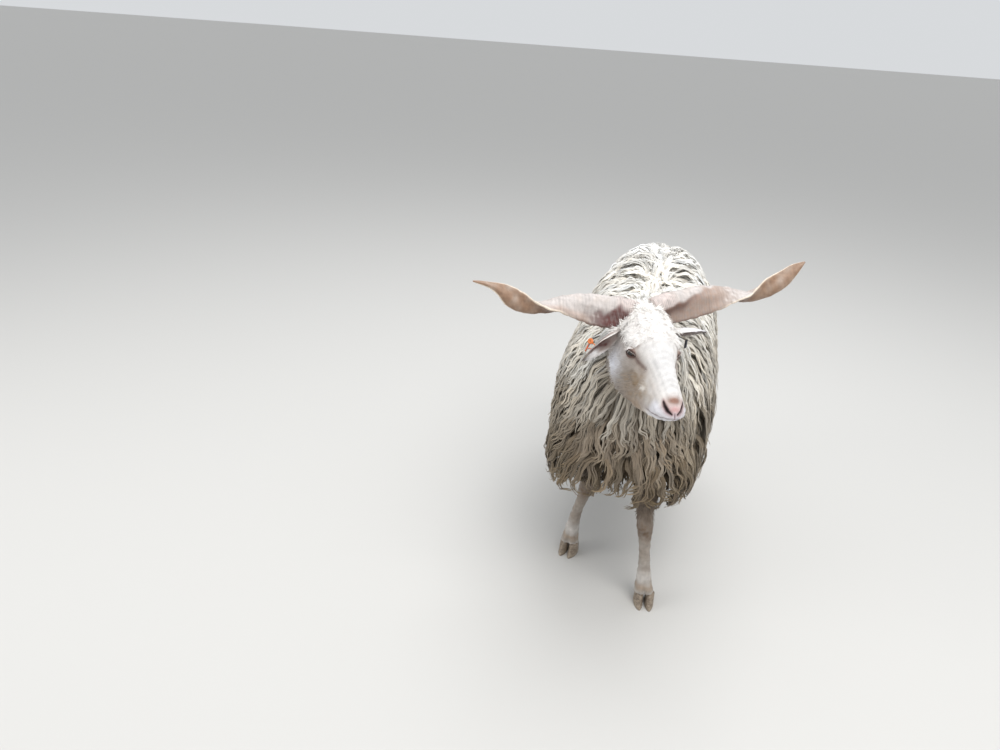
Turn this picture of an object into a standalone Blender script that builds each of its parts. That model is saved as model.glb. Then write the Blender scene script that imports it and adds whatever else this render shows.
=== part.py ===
"""Racka sheep, a still life-size figure standing square on its four feet.

The ewe faces -Y with her left side towards +X; +Z is up and the soles are at
z = 0.  The head is raised, pitched down along the nose and turned to her left.
The solids give the outline out to the tips of the coat.  Lengths in metres.
"""
import math

import bmesh
import bpy
import numpy as np
from mathutils import Matrix, Vector

# ---------------------------------------------------------------- dimensions
GAP = 0.0003                      # clearance between touching parts
SHIFT = (0.0089, 0.0736, 0.0)           # puts the middle of the footprint box at 0,0

# trunk, out to the tips of the fleece
TRUNK_FRONT, TRUNK_BACK = -0.422, 0.418
TRUNK_HALF_WIDTH = 0.194
TRUNK_TOP = 0.708
TRUNK_HEM = 0.268
TRUNK_WIDEST_Z = 0.420
TRUNK_TURN = 0.085                # the rump stands this much to the left per metre

# head: poll position, turn to the left, downward pitch, sideways tilt
POLL = (0.001, -0.393, 0.752)
HEAD_YAW = math.radians(21.0)
HEAD_PITCH = math.radians(20.5)
HEAD_ROLL = math.radians(-3.5)    # positive lifts the left side
HEAD_LENGTH = 0.240               # poll to nose tip
HEAD_DEPTH = 0.168                # forehead to angle of the jaw
HEAD_HALF_WIDTH = 0.062           # at the brow

MUZZLE_LEAN = 0.0085
EYE_RADIUS = 0.0145
EYE_AT = (0.0987, 0.0442, -0.0339)     # along, lateral, dorsal from the poll

# horns: an open corkscrew spreading sideways, flat in section with one keel
HORN_SPAN_LEFT, HORN_SPAN_RIGHT = 0.344, 0.350     # reach of the tips from the poll
HORN_ROOT = 0.016
HORN_BASE_DEPTH = 0.066
HORN_BASE_THICK = 0.044
HORN_SWEEP = -0.09                # backward lean per metre of reach
# height above the poll along each horn; the left one is carried higher
HORN_RISE_LEFT = [(0.0, -0.008), (0.205, 0.007), (0.31, 0.017), (0.42, 0.0245), (0.53, 0.030), (0.63, 0.030),
                  (0.70, 0.037), (0.775, 0.050), (0.87, 0.070), (0.936, 0.092), (1.0, 0.109)]
HORN_RISE_RIGHT = [(0.0, -0.018), (0.15, -0.017), (0.24, -0.015), (0.38, -0.012), (0.47, -0.0125), (0.55, -0.0180),
                   (0.63, -0.0185), (0.73, -0.009), (0.84, 0.011), (0.91, 0.018), (1.0, 0.022)]
HORN_TAPER_LEFT = [(0.0, 0.74), (0.12, 0.92), (0.25, 0.97), (0.40, 0.89), (0.50, 0.79), (0.60, 0.71),
                   (0.77, 0.66), (0.88, 0.52), (0.95, 0.30), (1.0, 0.055)]
HORN_TAPER_RIGHT = [(0.0, 0.76), (0.12, 0.96), (0.25, 0.98), (0.40, 0.87), (0.50, 0.75), (0.60, 0.67),
                    (0.75, 0.62), (0.82, 0.44), (0.88, 0.24), (1.0, 0.055)]

# ears
EAR_LENGTH_RIGHT, EAR_LENGTH_LEFT = 0.096, 0.090
EAR_HALF_WIDTH = 0.0235
EAR_THICK = 0.0036

# neck and tail, out to the tips of the wool
NECK_LOW = (-0.004, -0.222, 0.500)
NECK_HIGH = (-0.002, -0.377, 0.690)
TAIL_ROOT_Z, TAIL_TIP_Z = 0.625, 0.280

# legs: knee and hock heights, width across the knee, the feet on the floor
KNEE_Z, HOCK_Z = 0.206, 0.236
FOOT_FRONT_LEFT = (0.100, -0.362, math.radians(4.0))
FOOT_FRONT_RIGHT = (-0.096, -0.206, math.radians(-16.0))
FOOT_HIND_LEFT = (0.128, 0.262, math.radians(4.0))
FOOT_HIND_RIGHT = (-0.046, 0.290, math.radians(-10.0))
HOOF_TOP = 0.031                  # middle of the coronet
HOOF_SLOPE = 0.40                 # the coronet falls towards the heel
CLAW_HALF_WIDTH = 0.0112
CLEFT = 0.0016                    # half of the gap between the two claws

# ear marks
TAG_PLATE = (0.0150, 0.0180, 0.0014)
TAG_PLATE_AT = (-0.1041, -0.4490, 0.6718)
TAG_PLATE_DOWN = (-0.2948, -0.4304, -0.8526)
TAG_PLATE_OUT = (0.9551, -0.1342, -0.2625)
TAG_BUTTON_R = 0.0060
TAG_BUTTON_AT = (-0.0990, -0.4424, 0.6848)
TAG_BUTTON_OUT = (-0.3627, -0.7799, 0.5101)
TAG_GREY = (0.008, 0.019, 0.0022)


# ------------------------------------------------------------ maths helpers
def ease(keys, x):
    """Monotone cubic through (place, size) keys."""
    xs = np.array([k[0] for k in keys], float)
    ys = np.array([k[1] for k in keys], float)
    h = np.diff(xs)
    d = np.diff(ys) / h
    m = np.zeros_like(ys)
    for i in range(1, len(xs) - 1):
        if d[i - 1] * d[i] > 0:
            w1, w2 = 2 * h[i] + h[i - 1], h[i] + 2 * h[i - 1]
            m[i] = (w1 + w2) / (w1 / d[i - 1] + w2 / d[i])
    m[0], m[-1] = d[0], d[-1]
    x = min(max(x, xs[0]), xs[-1])
    i = min(int(np.searchsorted(xs, x, side="right")) - 1, len(h) - 1)
    t = (x - xs[i]) / h[i]
    return float((2 * t**3 - 3 * t**2 + 1) * ys[i] + (t**3 - 2 * t**2 + t) * h[i] * m[i]
                 + (-2 * t**3 + 3 * t**2) * ys[i + 1] + (t**3 - t**2) * h[i] * m[i + 1])


def bump(x, centre, width):
    return math.exp(-((x - centre) / width) ** 2)


def power(v, e):
    return math.copysign(abs(v) ** e, v)


def head_axes():
    heading = Vector((math.sin(HEAD_YAW), -math.cos(HEAD_YAW), 0.0))
    lateral = Vector((math.cos(HEAD_YAW), math.sin(HEAD_YAW), 0.0))
    along = math.cos(HEAD_PITCH) * heading - math.sin(HEAD_PITCH) * Vector((0, 0, 1))
    dorsal = math.sin(HEAD_PITCH) * heading + math.cos(HEAD_PITCH) * Vector((0, 0, 1))
    turn = Matrix.Rotation(HEAD_ROLL, 3, heading)
    return turn @ along, turn @ lateral, turn @ dorsal


ALONG, LATERAL, DORSAL = head_axes()


def from_head(s, u, q):
    """Head frame (along the face, to the left, up through the forehead); the muzzle leans to its left."""
    u += MUZZLE_LEAN * max(0.0, (s - 0.05) / 0.19) ** 1.3
    return Vector(POLL) + s * ALONG + u * LATERAL + q * DORSAL


# -------------------------------------------------------------- mesh helpers
def new_collection(name):
    col = bpy.data.collections.new(name)
    bpy.context.scene.collection.children.link(col)
    return col


def material(name, colour, rough, metal=0.0):
    mat = bpy.data.materials.new(name)
    mat.use_nodes = True
    shader = mat.node_tree.nodes["Principled BSDF"]
    shader.inputs["Base Color"].default_value = (*colour, 1.0)
    shader.inputs["Roughness"].default_value = rough
    shader.inputs["Metallic"].default_value = metal
    mat.diffuse_color = (*colour, 1.0)
    return mat


def add_object(name, bm, col, mat=None):
    bmesh.ops.recalc_face_normals(bm, faces=bm.faces)
    if bm.calc_volume(signed=True) < 0:
        bmesh.ops.reverse_faces(bm, faces=bm.faces)
    mesh = bpy.data.meshes.new(name)
    bm.to_mesh(mesh)
    bm.free()
    mesh.shade_smooth()
    mesh.set_sharp_from_angle(angle=math.radians(50))
    obj = bpy.data.objects.new(name, mesh)
    if mat:
        mesh.materials.append(mat)
    col.objects.link(obj)
    return obj


def loft(rings, pointed_start=True, pointed_end=True):
    """Skin a list of equal rings; a pointed end closes on the ring's middle."""
    bm = bmesh.new()
    loops = [[bm.verts.new(p) for p in ring] for ring in rings]
    n = len(loops[0])
    for a, b in zip(loops[:-1], loops[1:]):
        for i in range(n):
            bm.faces.new((a[i], a[(i + 1) % n], b[(i + 1) % n], b[i]))
    for ring, pointed in ((loops[0], pointed_start), (loops[-1], pointed_end)):
        if pointed:
            tip = bm.verts.new(sum((v.co for v in ring), Vector()) / n)
            for i in range(n):
                bm.faces.new((ring[i], ring[(i + 1) % n], tip))
        else:
            bm.faces.new(ring)
    return bm


def swell(obj, by):
    """A copy of the mesh grown evenly by a clearance, for use as a cutter."""
    bm = bmesh.new()
    bm.from_mesh(obj.data)
    bmesh.ops.triangulate(bm, faces=bm.faces)
    bm.normal_update()
    moves = [v.normal * by * v.calc_shell_factor() for v in bm.verts]
    for v, m in zip(bm.verts, moves):
        v.co += m
    mesh = bpy.data.meshes.new(obj.name + "_clear")
    bm.to_mesh(mesh)
    bm.free()
    return mesh


def cut(obj, cutter_mesh, cutters, label, operation="DIFFERENCE"):
    """Cut obj by a mesh, then keep the largest closed piece."""
    tool = bpy.data.objects.new(obj.name + "_" + label, cutter_mesh)
    cutters.objects.link(tool)
    tool.hide_render = True
    tool.display_type = "WIRE"
    mod = obj.modifiers.new(label, "BOOLEAN")
    mod.operation = operation
    mod.solver = "EXACT"
    mod.object = tool
    bpy.context.view_layer.update()
    graph = bpy.context.evaluated_depsgraph_get()
    done = bpy.data.meshes.new_from_object(obj.evaluated_get(graph))
    obj.modifiers.clear()
    old = obj.data
    name = old.name
    obj.data = done
    bpy.data.meshes.remove(old)
    done.name = name
    keep_largest(obj)
    return tool


def keep_largest(obj):
    bm = bmesh.new()
    bm.from_mesh(obj.data)
    bmesh.ops.remove_doubles(bm, verts=bm.verts, dist=0.00002)
    bmesh.ops.dissolve_degenerate(bm, edges=bm.edges, dist=0.00002)
    left = set(bm.verts)
    groups = []
    while left:
        seed = left.pop()
        group, stack = {seed}, [seed]
        while stack:
            for e in stack.pop().link_edges:
                for v in e.verts:
                    if v in left:
                        left.discard(v)
                        group.add(v)
                        stack.append(v)
        groups.append(group)
    groups.sort(key=len, reverse=True)
    for g in groups[1:]:
        bmesh.ops.delete(bm, geom=list(g), context="VERTS")
    bmesh.ops.triangulate(bm, faces=bm.faces)
    bm.to_mesh(obj.data)
    bm.free()
    obj.data.shade_smooth()
    obj.data.set_sharp_from_angle(angle=math.radians(50))


def clip(obj, point, normal):
    """Cut off what lies beyond a plane and close the face it leaves."""
    bm = bmesh.new()
    bm.from_mesh(obj.data)
    bmesh.ops.bisect_plane(bm, geom=bm.verts[:] + bm.edges[:] + bm.faces[:],
                           dist=0.000001, plane_co=point, plane_no=normal,
                           clear_outer=True)
    rim = [e for e in bm.edges if e.is_boundary]
    bmesh.ops.contextual_create(bm, geom=rim)
    bmesh.ops.recalc_face_normals(bm, faces=bm.faces)
    bm.to_mesh(obj.data)
    bm.free()
    keep_largest(obj)


# -------------------------------------------------------------------- trunk
TRUNK_AROUND, TRUNK_ALONG = 32, 20


def trunk_point(y, phi, tau):
    """Point of the fleece at length y and angle phi, 0 on the back."""
    top = ease([(-0.42, 0.600), (-0.34, 0.655), (-0.20, 0.694), (0.00, TRUNK_TOP),
                (0.18, 0.744), (0.32, 0.742), (0.42, 0.684)], y)
    hem = ease([(-0.42, 0.264), (-0.35, TRUNK_HEM - 0.020), (0.00, TRUNK_HEM + 0.006),
                (0.26, TRUNK_HEM + 0.006), (0.42, 0.300)], y)
    half = TRUNK_HALF_WIDTH * ease([(-0.42, 0.82), (-0.32, 0.93), (-0.18, 1.00), (0.02, 1.00),
                                    (0.18, 0.98), (0.32, 0.90), (0.42, 0.78)], y)
    mid = TRUNK_WIDEST_Z
    c, s = math.cos(phi), math.sin(phi)
    if c > 0:
        x, z = power(s, 0.90), (top - mid) * power(c, 1.00)
    else:
        x, z = power(s, 0.56), (mid - hem) * power(c, 0.50)
    # the back rounds down to both ends, the hanging skirt ends steeply
    close = (1.0 - abs(tau) ** (5.0 if c > 0 else 5.0 + 6.0 * min(1.0, -2.0 * c))) ** 0.5
    # locks part along the back and gather into lobes towards the hem
    part_line = 1.0 - 0.022 * math.exp(-(phi if phi < math.pi else 2 * math.pi - phi) ** 2 / 0.02)
    lobes = 1.0 + 0.016 * math.sin(9 * phi + 14 * y) * math.sin(17 * y + 0.8) * (0.4 - 0.6 * min(c, 0.4))
    hem_lobes = 0.010 * max(0.0, -c) ** 2 * math.sin(26 * y + 5 * phi)
    across = TRUNK_TURN * (y + 0.26) + 0.006
    return Vector((across + half * x * close * lobes, y,
                   mid + (z * close * part_line) * lobes + hem_lobes * close))


def make_trunk(col, mat):
    rings = []
    middle, reach = 0.5 * (TRUNK_FRONT + TRUNK_BACK), 0.5 * (TRUNK_BACK - TRUNK_FRONT)
    for k in range(TRUNK_ALONG):
        tau = -math.cos(math.pi * (k + 0.5) / TRUNK_ALONG)
        y = middle + reach * tau
        rings.append([trunk_point(y, 2 * math.pi * i / TRUNK_AROUND, tau)
                      for i in range(TRUNK_AROUND)])
    return add_object("trunk", loft(rings), col, mat)


# --------------------------------------------------------------------- neck
def make_neck(col, mat):
    low, high = Vector(NECK_LOW), Vector(NECK_HIGH)
    axis = (high - low).normalized()
    side = Vector((0, 0, 1)).cross(axis).normalized()
    if side.x < 0:
        side = -side
    crest = side.cross(axis)
    if crest.z < 0:
        crest = -crest
    rings = []
    steps, around = 10, 22
    for k in range(steps):
        t = k / (steps - 1)
        wide = ease([(0, 0.100), (0.35, 0.114), (0.6, 0.108), (0.85, 0.082), (1.0, 0.062)], t)
        nape = ease([(0, 0.120), (0.4, 0.112), (0.75, 0.092), (0.92, 0.078), (1.0, 0.062)], t)
        throat = ease([(0, 0.165), (0.35, 0.172), (0.7, 0.150), (0.92, 0.110), (1.0, 0.082)], t)
        centre = low.lerp(high, t)
        ring = []
        for i in range(around):
            phi = 2 * math.pi * i / around
            lobe = 1.0 + 0.016 * math.sin(5 * phi) * (0.5 - 0.5 * math.cos(phi)) * t
            up = nape if math.cos(phi) > 0 else throat
            ring.append(centre + side * (wide * power(math.sin(phi), 0.95) * lobe)
                        + crest * (up * power(math.cos(phi), 0.95) * lobe))
        rings.append(ring)
    return add_object("neck", loft(rings), col, mat)


# --------------------------------------------------------------------- head
def head_point(s, phi):
    """Point of the head's surface; s along the face, phi 0 on the forehead."""
    length, half = HEAD_LENGTH, HEAD_HALF_WIDTH
    top = ease([(-0.05, -0.008), (-0.02, 0.016), (0.02, 0.0215), (0.058, 0.0180), (0.095, 0.010),
                (0.130, -0.003), (0.165, -0.0145), (0.200, -0.0265), (0.225, -0.0355), (0.246, -0.048)], s)
    low = ease([(-0.05, -0.095), (-0.02, -0.120), (0.02, -0.142), (0.070, 0.0180 - HEAD_DEPTH),
                (0.100, -0.1540), (0.135, -0.1435), (0.170, -0.1265), (0.200, -0.1090),
                (0.222, -0.0965), (0.246, -0.079)], s)
    brow = half * ease([(-0.05, 0.66), (-0.02, 0.84), (0.02, 0.94), (0.066, 0.99), (0.093, 1.00),
                        (0.115, 0.84), (0.142, 0.61), (0.175, 0.50), (0.210, 0.485), (0.246, 0.44)], s)
    cheek = half * ease([(-0.05, 0.66), (-0.02, 0.84), (0.02, 0.97), (0.066, 1.00), (0.100, 0.94),
                         (0.130, 0.83), (0.165, 0.69), (0.200, 0.575), (0.225, 0.565), (0.246, 0.48)], s)
    jaw = half * ease([(-0.05, 0.64), (-0.02, 0.84), (0.02, 1.01), (0.066, 1.09), (0.100, 1.10),
                       (0.130, 0.98), (0.165, 0.80), (0.200, 0.61), (0.222, 0.53), (0.246, 0.43)], s)
    v = 0.5 * (1.0 - math.cos(phi))
    width = ease([(0.0, brow * 0.86), (0.22, brow), (0.50, cheek), (0.80, jaw), (1.0, jaw * 0.80)], v)
    middle = 0.5 * (top + low)
    # both ends close on a rounded face, the muzzle blunter than the nape
    close = (1.0 - min(1.0, max(0.0, (s - 0.160) / (length + 0.006 - 0.160))) ** 4.6) ** 0.5
    close *= (1.0 - min(1.0, max(0.0, (0.0 - s) / 0.052)) ** 2.4) ** 0.5
    q = middle + (top - middle if v < 0.5 else middle - low) * (1.0 - 2.0 * v) * close
    u = width * power(math.sin(phi), 0.62) * close
    # a shallow hollow runs forward below the eye
    u *= 1.0 - 0.07 * bump(s, 0.138, 0.024) * bump(v, 0.36, 0.16)
    return s, u, q


def make_head(col, mat):
    rings = []
    steps, around = 22, 24
    for k in range(steps):
        tau = 0.5 * (1.0 - math.cos(math.pi * (k + 0.6) / (steps + 0.2)))
        s = -0.052 + (HEAD_LENGTH + 0.006 + 0.052) * tau
        rings.append([from_head(*head_point(s, 2 * math.pi * i / around)) for i in range(around)])
    return add_object("head", loft(rings), col, mat)


def make_ball(name, centre, radius, col, mat, around=14, rings=8):
    bm = bmesh.new()
    bmesh.ops.create_uvsphere(bm, u_segments=around, v_segments=rings, radius=radius)
    bmesh.ops.translate(bm, verts=bm.verts, vec=centre)
    return add_object(name, bm, col, mat)


# -------------------------------------------------------------------- horns
def horn_frame(t, side):
    """Middle, keel direction and sizes of the horn at t from root to tip."""
    span = HORN_SPAN_LEFT if side > 0 else HORN_SPAN_RIGHT
    u = HORN_ROOT + (span - HORN_ROOT) * t
    rise = ease(HORN_RISE_LEFT if side > 0 else HORN_RISE_RIGHT, t)
    reach = HORN_SWEEP * u
    along = reach * math.cos(HEAD_PITCH) - rise * math.sin(HEAD_PITCH)
    up = reach * math.sin(HEAD_PITCH) + rise * math.cos(HEAD_PITCH)
    centre = from_head(along, side * u, up)
    lag = t - 0.022 * side
    turn = math.radians(ease([(0.0, 22), (0.22, 28), (0.40, 54), (0.50, 80), (0.60, 112),
                              (0.68, 146), (0.77, 182), (0.88, 208), (1.0, 222)], lag))
    depth = HORN_BASE_DEPTH * ease(HORN_TAPER_LEFT if side > 0 else HORN_TAPER_RIGHT, t)
    thick = HORN_BASE_THICK * ease([(0.0, 1.0), (0.22, 0.84), (0.45, 0.62), (0.60, 0.52),
                                    (0.75, 0.42), (0.88, 0.28), (1.0, 0.075)], t)
    return centre, turn, depth, thick


def make_horn(name, side, col, mat):
    rings = []
    steps, around = 24, 12
    for k in range(steps):
        t = 1.0 - (1.0 - k / (steps - 1)) ** 1.12
        centre, turn, depth, thick = horn_frame(t, side)
        ahead = horn_frame(min(1.0, t + 0.01), side)[0] - horn_frame(max(0.0, t - 0.01), side)[0]
        ahead.normalize()
        sky = (Vector((0, 0, 1)) - ahead * ahead.z).normalized()
        front = ahead.cross(sky).normalized()
        if front.y > 0:
            front = -front
        keel = -math.cos(turn) * sky + math.sin(turn) * front
        flank = (math.sin(turn) * sky + math.cos(turn) * front)
        ring = []
        for i in range(around):
            phi = 2 * math.pi * i / around
            body = power(math.sin(phi), 1.25) * (1.0 - 0.42 * math.cos(phi))
            ring.append(centre + keel * (0.5 * depth * math.cos(phi)) + flank * (0.5 * thick * body))
        rings.append(ring)
    return add_object(name, loft(rings, pointed_start=False, pointed_end=True), col, mat)


# --------------------------------------------------------------------- ears
def make_ear(name, side, length, aim, opening, col, mat):
    """A cupped leaf: tubular at the root, widest at two fifths, pointed."""
    aim = (aim[0] * ALONG + aim[1] * LATERAL + aim[2] * DORSAL).normalized()
    face = opening[0] * ALONG + opening[1] * LATERAL + opening[2] * DORSAL
    face = (face - aim * face.dot(aim)).normalized()
    across = aim.cross(face).normalized()
    root = from_head(0.034, side * 0.050, -0.032)
    along_steps, across_steps = 9, 6
    bm = bmesh.new()
    grid = []
    for i in range(along_steps + 1):
        t = i / along_steps
        half = EAR_HALF_WIDTH * ease([(0, 0.62), (0.16, 0.78), (0.42, 1.0), (0.66, 0.84), (0.86, 0.50), (1.0, 0.12)], t)
        curl = math.radians(ease([(0, 118), (0.2, 92), (0.5, 60), (0.8, 44), (1.0, 30)], t))
        radius = half / curl
        droop = Vector((0, 0, -1)) * (0.006 * t * t)
        row = []
        for j in range(across_steps + 1):
            w = -1.0 + 2.0 * j / across_steps
            p = root + aim * (length * t) + across * (radius * math.sin(curl * w))
            p += face * (radius * (1.0 - math.cos(curl * w)) - 0.45 * radius * (1.0 - math.cos(curl))) + droop
            row.append(bm.verts.new(p))
        grid.append(row)
    for i in range(along_steps):
        for j in range(across_steps):
            bm.faces.new((grid[i][j], grid[i][j + 1], grid[i + 1][j + 1], grid[i + 1][j]))
    mesh = bpy.data.meshes.new(name)
    bm.to_mesh(mesh)
    bm.free()
    obj = bpy.data.objects.new(name, mesh)
    mesh.materials.append(mat)
    col.objects.link(obj)
    shell = obj.modifiers.new("thickness", "SOLIDIFY")
    shell.thickness = EAR_THICK
    shell.offset = 0.0
    shell.use_even_offset = True
    graph = bpy.context.evaluated_depsgraph_get()
    solid = bpy.data.meshes.new_from_object(obj.evaluated_get(graph))
    obj.modifiers.clear()
    obj.data = solid
    bpy.data.meshes.remove(mesh)
    solid.name = name
    keep_largest(obj)
    return obj, root, aim, face, across


# --------------------------------------------------------------------- legs
def leg_path(foot, hind):
    """Keys of height: sideways place, fore-aft place, half width, half depth."""
    fx, fy, _ = foot
    side = 1.0 if fx > 0 else -1.0
    if not hind:
        if side > 0:
            xs = [(0.0, fx), (0.07, fx - 0.0075), (KNEE_Z, 0.0760), (0.26, 0.0700), (0.42, 0.066)]
            ys = [(0.0, fy - 0.002), (0.033, fy + 0.004), (0.075, fy + 0.014), (KNEE_Z, fy + 0.017), (0.27, fy + 0.030), (0.42, fy + 0.090)]
        else:
            xs = [(0.0, fx), (0.045, fx + 0.001), (0.115, -0.0880), (KNEE_Z, -0.0700), (0.26, -0.0660), (0.42, -0.066)]
            ys = [(0.0, fy - 0.002), (0.033, fy + 0.003), (0.075, fy + 0.010), (KNEE_Z, fy - 0.004), (0.27, fy - 0.012), (0.42, fy - 0.020)]
        wide = [(0.0, 0.0220), (0.033, 0.0225), (0.055, 0.0195), (0.075, 0.0182), (0.100, 0.0155), (0.135, 0.0145),
                (0.175, 0.0162), (KNEE_Z, 0.0202), (0.235, 0.0212), (0.27, 0.0245), (0.42, 0.036)]
        deep = [(0.0, 0.0240), (0.033, 0.0245), (0.055, 0.0205), (0.075, 0.0210), (0.100, 0.0172), (0.135, 0.0160),
                (0.175, 0.0172), (KNEE_Z, 0.0215), (0.235, 0.0230), (0.27, 0.0290), (0.42, 0.050)]
    else:
        xs = [(0.0, fx), (0.08, fx - 0.004 * side), (HOCK_Z, fx - 0.014 * side), (0.30, fx - 0.010 * side), (0.44, fx - 0.008 * side)]
        ys = [(0.0, fy - 0.002), (0.033, fy + 0.004), (0.080, fy + 0.020), (0.150, fy + 0.032), (HOCK_Z - 0.02, fy + 0.047),
              (HOCK_Z + 0.02, fy + 0.046), (0.30, fy + 0.018), (0.44, fy - 0.060)]
        wide = [(0.0, 0.0215), (0.033, 0.0220), (0.055, 0.0190), (0.080, 0.0185), (0.105, 0.0150), (0.160, 0.0142),
                (0.200, 0.0165), (HOCK_Z, 0.0195), (0.265, 0.0190), (0.31, 0.0255), (0.44, 0.048)]
        deep = [(0.0, 0.0235), (0.033, 0.0240), (0.055, 0.0200), (0.080, 0.0212), (0.105, 0.0172), (0.160, 0.0165),
                (0.200, 0.0225), (HOCK_Z, 0.0275), (0.265, 0.0270), (0.31, 0.0380), (0.44, 0.075)]
    return xs, ys, wide, deep


def make_leg(name, foot, hind, col, mat):
    xs, ys, wide, deep = leg_path(foot, hind)
    top = 0.44 if hind else 0.42
    rings = []
    around = 12
    heights = [0.004, 0.018, 0.032, 0.044, 0.056, 0.068, 0.078, 0.090, 0.106, 0.130, 0.155, 0.178,
               0.194, 0.206, 0.220, 0.236, 0.252, 0.275, 0.31, 0.35, top]
    heading = foot[2]
    for z in heights:
        cx, cy, rx, ry = (ease(k, z) for k in (xs, ys, wide, deep))
        turn = heading * max(0.0, 1.0 - z / 0.20)
        ring = []
        for i in range(around):
            phi = 2 * math.pi * i / around
            lx, ly = rx * power(math.sin(phi), 0.92), ry * power(math.cos(phi), 0.92)
            if hind and ly > 0:
                ly *= 1.0 + 0.22 * bump(z, HOCK_Z + 0.012, 0.022)
            ring.append(Vector((cx + lx * math.cos(turn) - ly * math.sin(turn),
                                cy + lx * math.sin(turn) + ly * math.cos(turn), z)))
        rings.append(ring)
    return add_object(name, loft(rings, False, False), col, mat)


def make_claw(name, foot, outer, col, mat):
    """One claw: flat sole, sloping front wall, flat face towards the cleft."""
    fx, fy, heading = foot
    side = 1.0 if fx > 0 else -1.0
    away = side if outer else -side
    rings = []
    around = 14
    for z, shrink in ((0.0, 0.965), (0.0025, 1.0), (0.012, 0.985), (0.024, 0.95), (0.040, 0.92), (0.050, 0.90)):
        ring = []
        for i in range(around):
            phi = 2 * math.pi * i / around
            c, s = math.cos(phi), math.sin(phi)
            toe = 0.033 - 0.62 * z
            heel = 0.0245 - 0.10 * z
            half = CLAW_HALF_WIDTH * shrink
            ly = -(toe if c > 0 else heel) * shrink * power(c, 0.85)
            lx = half * power(s, 0.80) * (1.0 - 0.42 * max(0.0, c) ** 2.2)
            inner = lx * away < 0
            if inner:
                lx *= 0.93
            centre = away * (CLAW_HALF_WIDTH + CLEFT)
            px, py = centre + lx, ly
            # the claws lean together at the toe tips
            px -= away * 0.0014 * max(0.0, c)
            ring.append(Vector((fx + px * math.cos(heading) - py * math.sin(heading),
                                fy + px * math.sin(heading) + py * math.cos(heading), z)))
        rings.append(ring)
    return add_object(name, loft(rings, False, False), col, mat)


def coronet_plane(foot):
    fx, fy, heading = foot
    forward = Vector((math.sin(heading), -math.cos(heading), 0.0))
    normal = (Vector((0, 0, 1)) - HOOF_SLOPE * forward).normalized()
    return Vector((fx, fy, HOOF_TOP)), normal


# --------------------------------------------------------------------- tail
def make_tail(col, mat):
    rings = []
    steps, around = 11, 12
    for k in range(steps):
        t = k / (steps - 1)
        z = TAIL_ROOT_Z + (TAIL_TIP_Z - TAIL_ROOT_Z) * t
        y = ease([(0, 0.350), (0.15, 0.386), (0.35, 0.410), (0.65, 0.418), (0.85, 0.414), (1.0, 0.406)], t)
        x = TRUNK_TURN * (y + 0.26)
        wide = ease([(0, 0.034), (0.25, 0.040), (0.6, 0.042), (0.85, 0.032), (1.0, 0.010)], t)
        deep = ease([(0, 0.024), (0.25, 0.028), (0.6, 0.028), (0.85, 0.022), (1.0, 0.008)], t)
        ring = []
        for i in range(around):
            phi = 2 * math.pi * i / around
            lobe = 1.0 + 0.05 * math.sin(5 * phi + 6 * t)
            ring.append(Vector((x + wide * math.sin(phi) * lobe, y + deep * math.cos(phi) * lobe, z)))
        rings.append(ring)
    return add_object("tail", loft(rings), col, mat)


# ---------------------------------------------------------------- ear marks
def make_plate(name, size, place, axes, col, mat, radius=0.0):
    """A thin plate or disc set by its middle and its three directions."""
    bm = bmesh.new()
    if radius:
        bmesh.ops.create_cone(bm, cap_ends=True, segments=16, radius1=radius, radius2=radius * 0.8, depth=size[2])
    else:
        bmesh.ops.create_cube(bm, size=1.0)
        bmesh.ops.scale(bm, vec=size, verts=bm.verts)
        upright = [e for e in bm.edges if abs((e.verts[0].co - e.verts[1].co).normalized().z) > 0.9]
        bmesh.ops.bevel(bm, geom=upright, offset=0.22 * min(size[0], size[1]), segments=3, profile=0.5, affect="EDGES")
    turn = Matrix((axes[0], axes[1], axes[2])).transposed().to_4x4()
    turn.translation = place
    bmesh.ops.transform(bm, matrix=turn, verts=bm.verts)
    return add_object(name, bm, col, mat)


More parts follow.
